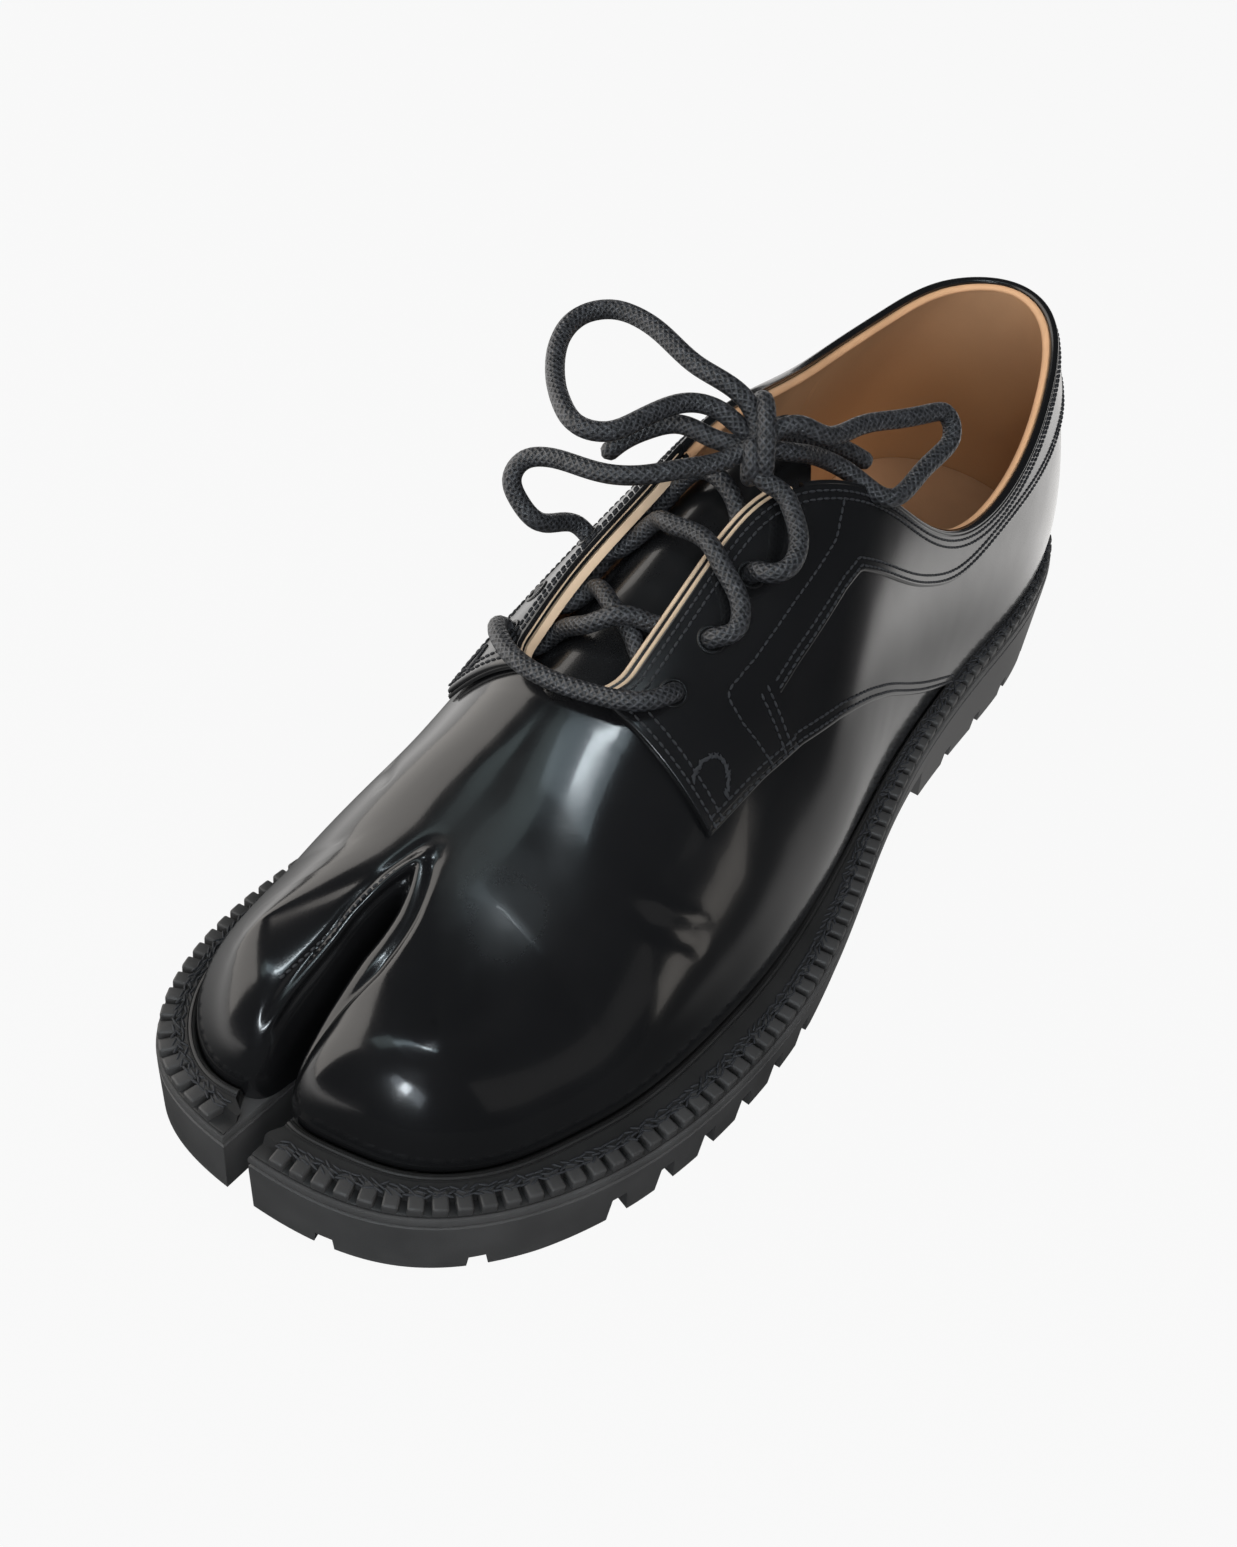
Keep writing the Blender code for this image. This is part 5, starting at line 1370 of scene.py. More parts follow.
class SHOE_OT_outsole(bpy.types.Operator):
    """Make the lugged outsole with its side groove, notches and tread channels."""

    bl_idname = "shoe.outsole"
    bl_label = "Outsole"

    def loop(self, inset):
        """Plan loop of the sole with its toe slot, moved inwards by the inset."""
        half = SLOT_WIDTH / 2.0 + inset
        outer_end, inner_end = slot_ends(half)
        total = SOLE_EDGE[-1]
        s = np.linspace(inner_end - total, outer_end, int(total / SOLE_SPACING))
        for y in BREAST_MARKS:
            for side in (SOLE_FINE[:, 0] > 0.0, SOLE_FINE[:, 0] < 0.0):
                place = SOLE_EDGE[:-1][side][np.argmin(np.abs(SOLE_FINE[side, 1] - y))]
                place = place if place < outer_end else place - total
                s[int(np.argmin(np.abs(s - place)))] = place
        turn = np.linspace(0.0, math.pi, 15)
        root = np.stack((SLOT_CENTRE + half * np.cos(turn), SLOT_ROOT_Y + half * np.sin(turn)), axis=1)
        return np.vstack((sole_edge(np.sort(s), inset), root))

    def body(self):
        """The sole as one solid, before it is cut."""
        bm = bmesh.new()
        rows = []
        for inset, base, height in SOLE_PROFILE:
            loop = self.loop(inset)
            level = sole_under(loop[:, 1]) if base == "tread" else sole_top(loop[:, 1])
            rows.append(add_points(bm, np.column_stack((loop, level + height))))
        add_walls(bm, rows)
        add_caps(bm, rows, sorted({*SIDE_Y[1:-1], *SOLE_CUTS}))
        bmesh.ops.recalc_face_normals(bm, faces=bm.faces)
        return bm

    def cutters(self):
        """Wedges for the notches between the lugs and boxes for the channels of the tread."""
        bm = bmesh.new()

        def box(centre, angle, length, width, top, flare=1.0):
            made = bmesh.ops.create_cube(bm, size=1.0)["verts"]
            low = [vert for vert in made if vert.co.z < 0.0]
            bmesh.ops.scale(bm, verts=low, vec=(1.0, flare, 1.0))
            bmesh.ops.scale(bm, verts=made, vec=(length * MM, width * MM, 20.0 * MM))
            bmesh.ops.rotate(bm, verts=made, cent=(0, 0, 0), matrix=Matrix.Rotation(angle, 3, "Z"))
            bmesh.ops.translate(bm, verts=made, vec=Vector((*centre, top - 10.0)) * MM)

        for first, last_one, count, reach, height in NOTCHES:
            for s in np.linspace(first, last_one, count):
                here = sole_edge(np.array([s]))[0]
                outward = here - sole_edge(np.array([s]), 1.0)[0]
                top = sole_under(np.array([here[1]]))[0] + height
                box(here - outward * (reach / 2.0 - 1.5), math.atan2(outward[1], outward[0]), reach,
                    NOTCH_WIDTH, top, NOTCH_FLARE)
        for first, last_one, count, width, depth, length in TREAD_CHANNELS:
            for y in np.linspace(first, last_one, count):
                across = SOLE_FINE[np.abs(SOLE_FINE[:, 1] - y) < 3.0, 0]
                top = sole_under(np.array([y]))[0] + depth
                box(((across.max() + across.min()) / 2.0, y), 0.0, length, width, top)
        return bm

    def execute(self, context):
        sole = new_object("sole_form", mesh_of("sole", self.body()))
        cuts = new_object("sole_cuts", mesh_of("cuts", self.cutters()))
        change = sole.modifiers.new("cut", "BOOLEAN")
        change.operation = "DIFFERENCE"
        change.solver = "EXACT"
        change.use_self = True
        change.object = cuts
        soften = sole.modifiers.new("soften", "BEVEL")
        soften.width = SOLE_BEVEL * MM
        soften.segments = 2
        soften.limit_method = "ANGLE"
        soften.angle_limit = math.radians(50.0)
        mesh = tidy_mesh(baked(sole), 35.0)
        for made in (sole, cuts):
            bpy.data.objects.remove(made)
        mesh.name = "outsole_form"
        place_piece("outsole_form", mesh, "sole_rubber", ("outsole",))
        return {"FINISHED"}


class SHOE_OT_welt(bpy.types.Operator):
    """Make the welt: a bead against the upper, a seat for the stitches, and the teeth."""

    bl_idname = "shoe.welt"
    bl_label = "Welt"

    def over(self, s, inset, height):
        """Points over the sole, an inset in from its edge and a height above its upper face."""
        edge = sole_edge(s)
        plan = edge + (sole_edge(s, 1.0) - edge) * np.reshape(inset, (-1, 1))
        return np.column_stack((plan, sole_top(plan[:, 1]) + GAP + height))

    def execute(self, context):
        outer_end, inner_end = slot_ends(SLOT_WIDTH / 2.0 + 0.4)
        s = np.linspace(inner_end - SOLE_EDGE[-1], outer_end, 640)
        fine = round_girths(3000)
        _, near = nearest_on(sole_edge(s), last_point(fine, np.zeros(len(fine)))[:, :2])
        girths = averaged(np.maximum.accumulate(fine[near]), 4)
        root = tooth_root(s)
        share = bead_share(foot_line(girths, 0.0)[:, 1])
        rows = []
        for out, height in WELT_BEAD:
            rise = min(height, WELT_HEIGHT) + max(height - WELT_HEIGHT, 0.0) * share
            plan = foot_line(girths, np.minimum(rise, BEAD_CLEAR), GAP + out * share)[:, :2]
            rows.append(np.column_stack((plan, sole_top(plan[:, 1]) + GAP + rise)))
        rows += [self.over(s, root + past, height) for past, height in WELT_LEDGE]
        rows += [self.over(s, WELT_INSET + past, height) for past, height in WELT_RIM]
        mesh = rod("welt_band", np.stack(rows, axis=1))
        place_piece("welt_band", mesh, "welt_rubber", ("welt",))
        self.teeth(s, root)
        self.thread(s, root)
        return {"FINISHED"}

    def teeth(self, s, root):
        """Rounded teeth along the edge, as long as the ledge in front of the bead allows."""
        longest = size("tooth_length")
        wide = size("tooth_pitch") * context_sizes().tooth_share
        bm = bmesh.new()
        bmesh.ops.create_cube(bm, size=1.0)
        high = WELT_HEIGHT - WELT_FLOOR + TOOTH_SINK
        bmesh.ops.scale(bm, verts=bm.verts, vec=(wide, longest, high))
        bmesh.ops.bevel(bm, geom=list(bm.edges), offset=0.5, segments=2, profile=0.6, affect="EDGES")
        line = self.over(s, (WELT_INSET + root) / 2.0, WELT_HEIGHT - high / 2.0)[5:-5]
        stretch = ((root - WELT_INSET) / longest)[5:-5]
        set_along("welt_teeth", [(line, UPWARD, stretch)], small_piece("tooth", bm), size("tooth_pitch"),
                  "tooth_rubber")

    def thread(self, s, root):
        """Welt stitches over the roots of the teeth."""
        rows = [(self.over(s, root + past, WELT_HEIGHT + 0.06)[4:-4], UPWARD) for past in THREAD_ROWS]
        sew("welt_stitches", rows, length=2.2, spacing=size("tooth_pitch") / 2.4, wander=0.7, seed=7)


class SHOE_OT_upper(bpy.types.Operator):
    """Make the vamp and the quarters' backing as one skin, with the cleft's turned edges and creases."""

    bl_idname = "shoe.upper"
    bl_label = "Upper"

    def soften(self, bm):
        """Round the top of each lobe, where the sections of its two sides meet."""
        places = np.linspace(FORK_Y + 8.0, TIP_Y, 60)
        tops = np.vstack([ridge(places, spread) for spread in (OUTER_LOBE_SPREAD, INNER_LOBE_SPREAD)])
        apart, _ = nearest_on(np.array([vert.co for vert in bm.verts]) / MM, tops)
        for reach, times in ((12.0, 10), (9.0, 20), (6.0, 30)):
            relax(bm, apart, reach, times)
        bm.normal_update()

    def execute(self, context):
        rows = UPPER_ROWS
        girths, shares = skin_columns(rows)
        bm = bmesh.new()
        verts = add_points(bm, last_point(np.repeat(girths, rows), shares.ravel()))
        count = len(girths)
        for i in range(count):
            here, there = i * rows, (i + 1) % count * rows
            for k in range(rows - 1):
                bm.faces.new((verts[here + k], verts[there + k], verts[there + k + 1], verts[here + k + 1]))
        bmesh.ops.remove_doubles(bm, verts=bm.verts, dist=0.00002)
        bmesh.ops.recalc_face_normals(bm, faces=bm.faces)
        heel = max(bm.faces, key=lambda face: face.calc_center_median().y)
        if heel.normal.y < 0.0:
            bmesh.ops.reverse_faces(bm, faces=bm.faces)
        bm.normal_update()
        self.soften(bm)
        points = np.array([vert.co for vert in bm.verts]) / MM
        rise = np.zeros(len(points))
        for places, half_width, height in CREASES:
            a, t = np.array(places).T
            line = smooth_path(last_point(a, t), 0.8)
            rise += relief(points, line, half_width, height)
        line, wide, high = cleft_roll()
        rise += relief(points, line, wide, high, high * ROLL_VALLEY, fade=0.06)
        for vert, lift in zip(bm.verts, rise):
            vert.co += vert.normal * float(lift) * MM
        apart, _ = nearest_on(points, line)
        relax(bm, apart, reach=6.0, times=2)
        bm.normal_update()
        skin = list(bm.faces)
        rim = [edge for edge in bm.edges if edge.is_boundary]
        wall = context_sizes().leather_wall
        inside = {vert: vert.co - vert.normal * wall for vert in bm.verts}
        inside = {vert: bm.verts.new(place) for vert, place in inside.items()}
        for face in skin:
            bm.faces.new([inside[vert] for vert in reversed(face.verts)])
        for edge in rim:
            first, second = edge.verts
            bm.faces.new((first, second, inside[second], inside[first]))
        bmesh.ops.recalc_face_normals(bm, faces=bm.faces)
        mesh = mesh_of("upper_skin", bm)
        mesh.shade_smooth()
        mesh.set_sharp_from_angle(angle=math.radians(55.0))
        place_piece("upper_skin", mesh, "vamp_leather", ("upper",))
        return {"FINISHED"}


class SHOE_OT_lining(bpy.types.Operator):
    """Make the tan lining behind the quarters and the insole."""

    bl_idname = "shoe.lining"
    bl_label = "Lining and insole"

    def execute(self, context):
        sides = {}
        for side, beyond in (("outer", 6.0), ("inner", -8.0)):
            reach = girth_of("collar front") + beyond
            tan = np.linspace(0.0, reach, 110)
            black = np.linspace(reach, QUARTER_FRONT + 2.0, 50)
            sides[side] = (tan, black) if side == "outer" else (inner_girth(tan), inner_girth(black))
            self.sheet("facing_lining_" + side, sides[side][1], "tongue_leather", "facing_leather")
        girths = np.concatenate((sides["outer"][0][::-1], sides["inner"][0][1:]))
        self.sheet("lining", girths, "lining_leather", "insole_leather")
        self.insole()
        return {"FINISHED"}

    def sheet(self, name, girths, finish, slot):
        """Lining behind the columns given, with the seam on its inner side."""
        rows = LINING_ROWS
        t = np.outer(opening(girths) - 0.004, np.linspace(0.0, 1.0, rows)).ravel()
        a = np.repeat(girths, rows)
        wall = size("leather_wall")
        depth = -wall - size("lining_wall")
        outer = last_lifted(a, t, -wall - 0.05)
        inner = last_lifted(a, t, depth)
        seam = smooth_path(last_lifted(np.full(12, LINING_SEAM), np.linspace(0.03, 0.45, 12), depth), 0.8)
        bulge = relief(inner, seam, half_width=1.6, height=0.4, valley=0.3)
        inner = inner - last_normal(a, t) * bulge[:, None]
        shape = (len(girths), rows, 3)
        place_piece(name, shell(name, outer.reshape(shape), inner.reshape(shape)), finish)

    def insole(self):
        """Insole with a soft raised edge, just clear of the lining."""
        girths = skin_columns(2)[0]
        inset = size("leather_wall") + size("lining_wall") + 0.35
        bm = bmesh.new()
        rows = []
        for inward, height in INSOLE_EDGE:
            plan = foot_line(girths, 1.5, -inset - inward)[:, :2]
            rows.append(add_points(bm, np.column_stack((plan, sole_top(plan[:, 1]) + GAP + height))))
        add_walls(bm, rows)
        add_caps(bm, rows, INSOLE_CUTS)
        mesh = tidy_mesh(mesh_of("insole_pad", bm))
        place_piece("insole_pad", mesh, "insole_leather", ("insole",))


class SHOE_OT_quarters(bpy.types.Operator):
    """Make the quarters over the vamp and the facings with their collar band over the quarters."""

    bl_idname = "shoe.quarters"
    bl_label = "Quarters and facings"

    def execute(self, context):
        for side in ("outer", "inner"):
            inner = side == "inner"
            actual, low, _, top = side_edges(side_girths(), inner)
            self.overlay("quarter", side, overlay_grid(actual, low, top, size("quarter_rise"), 0.75, 34))
            actual, _, band, top = side_edges(side_girths(True), inner)
            self.overlay("facing", side, overlay_grid(actual, band, top, size("facing_rise"), 0.6, 26))
            self.cut_edge(side, inner)
        self.collar_roll()
        return {"FINISHED"}

    def overlay(self, kind, side, grids):
        """One leather overlay from its two grids."""
        name = kind + "_" + side + "_leather"
        place_piece(name, shell(name, *grids), kind + "_leather", (kind + "_" + side,))

    def cut_edge(self, side, inner):
        """Stepped layers along the throat: undyed cut edges with a black layer between them."""
        girths = np.linspace(girth_of("collar front") + 8.0, QUARTER_FRONT - 1.0, 80)
        actual = inner_girth(girths) if inner else girths
        share = opening(actual)
        up = unit(last_point(actual, share + 0.01) - last_point(actual, share - 0.01))
        for number, (finish, low, high, beyond) in enumerate(EDGE_LAYERS[side], 1):
            corners = ((low, -0.8), (low, beyond - 0.17), ((low + high) / 2.0, beyond),
                       (high, beyond - 0.17), (high, -0.8))
            grid = [last_lifted(actual, share, lift) + up * reach for lift, reach in corners]
            name = "edge_layer_" + side + "_" + str(number)
            place_piece(name, rod(name, np.stack(grid, axis=1)), finish)

    def collar_roll(self):
        """Thin rolled edge of the collar, with the turned edge of the lining inside it."""
        reach = girth_of("collar front") + 6.0
        side = np.linspace(0.0, reach, 110)
        girths = np.concatenate((side[::-1], inner_girth(side)[1:]))
        share = opening(girths)
        down = unit(last_point(girths, share - 0.01) - last_point(girths, share))
        rise = size("facing_rise")
        depth = -size("leather_wall") - size("lining_wall")
        turn = np.linspace(0.0, 2.0 * math.pi, 16, endpoint=False)
        for name, finish, high, low, height, drop in (
                ("collar_roll", "facing_leather", rise, rise - 2.0, 0.8, -0.2),
                ("lining_roll", "rim_leather", rise - 1.95, depth - 0.1, 0.8, 0.3)):
            centre = last_lifted(girths, share, (high + low) / 2.0)
            out = last_lifted(girths, share, high) - centre
            rings = [centre + out * math.cos(w) - down * (height * math.sin(w) - drop) for w in turn]
            place_piece(name, rod(name, np.stack(rings, axis=1), 70.0), finish)


class SHOE_OT_tongue(bpy.types.Operator):
    """Make the tongue under the facings, with the seam that joins it to the vamp."""

    bl_idname = "shoe.tongue"
    bl_label = "Tongue"

    def rows(self, below):
        """Grid of the tongue at one depth below its outer face."""
        table = np.array(TONGUE)
        places = edge_grading(TONGUE_ROWS, TONGUE[0][0], TONGUE[-1][0])
        depth, outer_share, inner_share = (np.interp(places, table[:, 0], table[:, k]) for k in (1, 2, 3))
        tip = np.clip((places - 2.0) / 7.0, 0.0, 1.0) ** 2
        grid = []
        for y, d, outer_t, inner_t, near in zip(places, depth, outer_share, inner_share, tip):
            outer_t = outer_t + (1.0 - outer_t) * 0.35 * near
            inner_t = inner_t + (1.0 - inner_t) * 0.35 * near
            first, second = (
                last_lifted(np.repeat(girth_at(y, outer), TONGUE_ACROSS),
                            np.linspace(low, high, TONGUE_ACROSS), -d - below)
                for outer, low, high in ((True, outer_t, 1.0), (False, 1.0, inner_t)))
            grid.append(np.vstack((first[:-1], (first[-1:] + second[:1]) / 2.0, second[1:])))
        return np.array(grid)

    def execute(self, context):
        outer = self.rows(0.0)
        flat = outer.reshape(-1, 3)
        seam = outer[:, :, 1].mean(axis=1)
        row = int(np.argmin(np.abs(seam - TONGUE_SEAM_Y)))
        ridge_line = smooth_path(outer[row], 1.0)
        lift = relief(flat, ridge_line, half_width=1.6, height=0.7, valley=0.3)
        flat = flat + np.column_stack((np.zeros(len(flat)), -0.3 * lift, lift))
        mesh = shell("tongue_leather", flat.reshape(outer.shape), self.rows(TONGUE_WALL))
        place_piece("tongue_leather", mesh, "tongue_leather", ("tongue",))
        line = smooth_path(outer[row - 2], 1.0)[4:-4] + np.array((0.0, 0.0, 0.12))
        sew("tongue_stitches", [(line, (0.0, -0.4, 0.9))], length=1.5, spacing=1.7, wander=0.5, seed=3)
        return {"FINISHED"}


class SHOE_OT_stitches(bpy.types.Operator):
    """Sew the rows of stitches on the quarters, facings, collar and cleft."""

    bl_idname = "shoe.stitches"
    bl_label = "Stitches"

    def row(self, a, t, lift):
        """One row of stitches through girths and shares, at a height over the last."""
        points = last_lifted(a, t, lift)
        along = chord_knots(points)
        at = np.arange(0.0, along[-1], 0.7)
        return read_rows(at, along, points), read_rows(at, along, last_normal(a, t))

    def beside(self, a, t, apart, lift):
        """A row beside an edge, moved up the leather by a distance along its sections."""
        span = np.linalg.norm(last_point(a, t + 0.01) - last_point(a, t - 0.01), axis=1) / 0.02
        return self.row(a, t + apart / span, lift)

    def side_rows(self, inner):
        """Rows of one side of the shoe."""
        quarter = size("quarter_rise") + STITCH_LIFT
        facing = size("facing_rise") + STITCH_LIFT
        girths = np.linspace(104.0, 212.4, 200)
        actual, low, _, _ = side_edges(girths, inner)
        ahead = girths > FACING_FRONT
        rows = [self.beside(actual[part], low[part], apart, lift) for apart in QUARTER_ROWS
                for part, lift in ((~ahead, quarter), (ahead, facing))]
        actual, low, band, _ = side_edges(np.linspace(0.6, 189.9, 320), inner)
        clear = band > low + 0.03
        rows += [self.beside(actual[clear], band[clear], apart, facing) for apart in FACING_ROWS]
        for place in () if inner else SHORT_ROWS:
            rows.append(self.row(np.full(30, place), np.linspace(*SHORT_SHARES, 30), facing))
        for place in FRONT_ROWS:
            way = self.opposite(np.full(60, place), np.linspace(*FRONT_SHARES, 60), inner)
            rows.append(self.row(*way, facing))
        actual, _, _, top = side_edges(np.linspace(0.6, 211.0, 360), inner)
        rows += [self.beside(actual, top, apart, facing) for apart in TOP_ROWS]
        places = np.array(SINGLE_ROW)
        dense = np.linspace(0.0, 1.0, 160)
        knots = chord_knots(places * np.array((1.0, 90.0)))
        a, t = read_rows(dense * knots[-1], knots, places).T
        if inner:
            t = t * opening(inner_girth(a)) / opening(a)
            a, low, _, _ = side_edges(a, True)
            clear = t > low + 0.05
            a, t = a[clear], t[clear]
        rows.append(self.row(a, t, facing))
        return rows

    def opposite(self, a, t, inner):
        """The same place on the inner side, where it is wanted."""
        if not inner:
            return a, t
        _, low, _, top = side_edges(a, False)
        other, other_low, _, other_top = side_edges(a, True)
        return other, other_low + (t - low) * (other_top - other_low) / (top - low)

    def execute(self, context):
        pitch = size("stitch_pitch")
        for number, side in enumerate(("outer", "inner")):
            inner = side == "inner"
            rows = self.side_rows(inner)
            sew("stitches_" + side, rows, pitch * 0.92, pitch, wander=0.12, seed=11 + number)
            a, t = self.opposite(*np.array(BAR_TACK).T, inner)
            path = smooth_path(last_lifted(a, t, size("facing_rise") + 0.15), 0.4)
            up = last_normal(a, t).mean(axis=0)
            sew("bar_tack_" + side, [(path, up)], length=2.0, spacing=0.5, wander=0.9, seed=21 + number)
        line, up = self.row(*cleft_line(False, 0.8), 0.35)
        line, up = line[6:-8], up[6:-8]
        sew("cleft_stitches", [(line, up)], length=1.2, spacing=1.45, wander=0.15, seed=31)
        return {"FINISHED"}


class SHOE_OT_laces(bpy.types.Operator):
    """Run the lace through its eyelets and tie it in a bow."""

    bl_idname = "shoe.laces"
    bl_label = "Eyelets, lace and bow"

    def hole(self, side, level, lift):
        """Point on the axis of an eyelet, at a height over the last."""
        return self.on(*EYELETS[side][level], lift)

    def on(self, girth, share, lift):
        """Point over the last."""
        return last_lifted([girth], [share], lift)[0]

    def throat(self, ridge_y, outer, share, lift):
        """Point in the throat, by its place on the top line."""
        return last_lifted(girth_at(ridge_y, outer), [share], lift)[0]

    def knot_exit(self, name):
        """Point where a strand leaves the knot, just beyond its face."""
        direction = np.array(KNOT_EXITS[name])
        direction /= np.linalg.norm(direction)
        reach = 1.0 / np.linalg.norm(direction / np.array(KNOT_RADII))
        return np.array(KNOT_CENTRE) + direction * (reach + KNOT_CLEAR)

    def inside_knot(self, across, up, out):
        """Point in the knot, in the bow's own directions."""
        return np.array(KNOT_CENTRE) + np.array((across, up, out)) @ BOW_AXES

    def throat_route(self):
        """The lace between the top eyelets: down the inside, across the bar, and up again."""
        hole, on, throat = self.hole, self.on, self.throat
        deep = -4.0
        return np.array([
            hole("outer", 2, 1.0), hole("outer", 2, -2.0), on(182.4, 0.835, deep),
            throat(-13.0, True, 0.95, -2.6), throat(-9.0, False, 0.88, -1.6), on(526.0, 0.70, deep),
            on(514.0, 0.61, deep), on(506.0, 0.595, -2.4), hole("inner", 1, 0.6), on(499.4, 0.69, -2.8),
            on(502.0, 0.75, deep), on(496.6, 0.93, -3.6), on(202.6, 0.965, -3.6), on(204.6, 0.905, deep),
            on(205.6, 0.85, deep), hole("outer", 0, -2.6), hole("outer", 0, 0.0), hole("outer", 0, 3.2),
            *LACE_BAR, hole("inner", 0, 3.2), hole("inner", 0, 0.0), hole("inner", 0, -2.6),
            on(493.05, 0.76, deep), throat(-46.5, False, 0.92, -1.6), throat(-43.5, True, 0.985, 0.2),
            throat(-41.0, True, 0.92, -2.4), on(197.8, 0.845, deep), hole("outer", 1, -2.6),
            hole("outer", 1, 0.0), hole("outer", 1, 3.4), on(194.0, 0.754, 5.4), on(191.2, 0.765, 5.6),
            on(189.6, 0.795, 5.2), on(188.6, 0.842, 4.7), on(187.4, 0.89, 4.3), on(186.5, 0.955, 1.9),
            on(511.8, 0.93, -0.6), on(514.6, 0.84, -2.6), on(514.2, 0.74, deep), hole("inner", 2, -2.0),
            hole("inner", 2, 1.0),
        ])

    def bow_route(self, side):
        """One half of the bow, from its top eyelet through the knot and round its loop to its bare end."""
        tail, loop, end, names, first, second = BOW_HALVES[side]
        exits = [self.knot_exit(name) for name in names]
        start = [self.hole(side, 2, lift) for lift in (0.4, 2.6, 4.6)]
        return np.array([*start, *tail, exits[0], self.inside_knot(*first), exits[1], *loop, exits[2],
                         self.inside_knot(*second), exits[3], *end])

    def strand(self, name, route, nodes, far_end, with_pieces=()):
        """One length of lace as a braided tube."""
        path = smooth_path(route, 0.8)
        mesh = tube_mesh(name, path, size("lace") / 2.0)
        made = place_piece(name, mesh, "lace_braid", nodes)
        chord_knots(path)[-1] * MM
        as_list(with_pieces)

    def knot(self):
        """Strand wrapped round the middle of the bow."""
        turns = np.linspace(*WRAP_TURNS, 90) * 2.0 * math.pi
        sunk = np.clip(np.abs(np.linspace(-1.0, 1.0, 90)) * 6.0 - 5.0, 0.0, 1.0)
        radius = WRAP_RADIUS - WRAP_SINK * sunk
        path = np.array([self.inside_knot(1.1 - 1.215 * w / math.pi, 1.5 * r * math.sin(w),
                                          1.05 * r * math.cos(w)) for w, r in zip(turns, radius)])
        mesh = tube_mesh("lace_knot_wrap", even_path(path, 0.7), size("lace") / 2.0)
        return place_piece("lace_knot_wrap", mesh, "lace_braid", ("lace_knot",))

    def eyelets(self):
        """Pressed rims of the punched holes in the facings."""
        lines = []
        for side in EYELETS:
            for level in range(3):
                centre = self.hole(side, level, size("facing_rise") - 0.02)
                normal = last_normal(*np.array(EYELETS[side][level])[:, None])[0]
                one = np.cross(normal, UPWARD)
                one /= np.linalg.norm(one)
                other = np.cross(normal, one)
                turn = np.linspace(0.0, 2.0 * math.pi, 40)
                ring = centre + 2.45 * (np.outer(np.cos(turn), one) + np.outer(np.sin(turn), other))
                lines.append((ring, normal))
        bm = bmesh.new()
        bmesh.ops.create_uvsphere(bm, u_segments=8, v_segments=6, radius=1.0)
        bmesh.ops.scale(bm, verts=bm.verts, vec=(0.55, 0.5, 0.34))
        set_along("eyelet_rims", lines, small_piece("rim", bm), 0.4, "facing_leather")

    def execute(self, context):
        self.eyelets()
        wrap = self.knot()
        self.strand("lace_throat", self.throat_route(),
                    ("lace_bar_low", "lace_cross_low", "lace_cross_high"), "object")
        for side, other, pieces in (("outer", "inner", [wrap]), ("inner", "outer", ())):
            self.strand("lace_bow_" + side, self.bow_route(side),
                        ("lace_tail_" + side, "lace_loop_" + other, "lace_end_" + side), "bare", pieces)
        return {"FINISHED"}


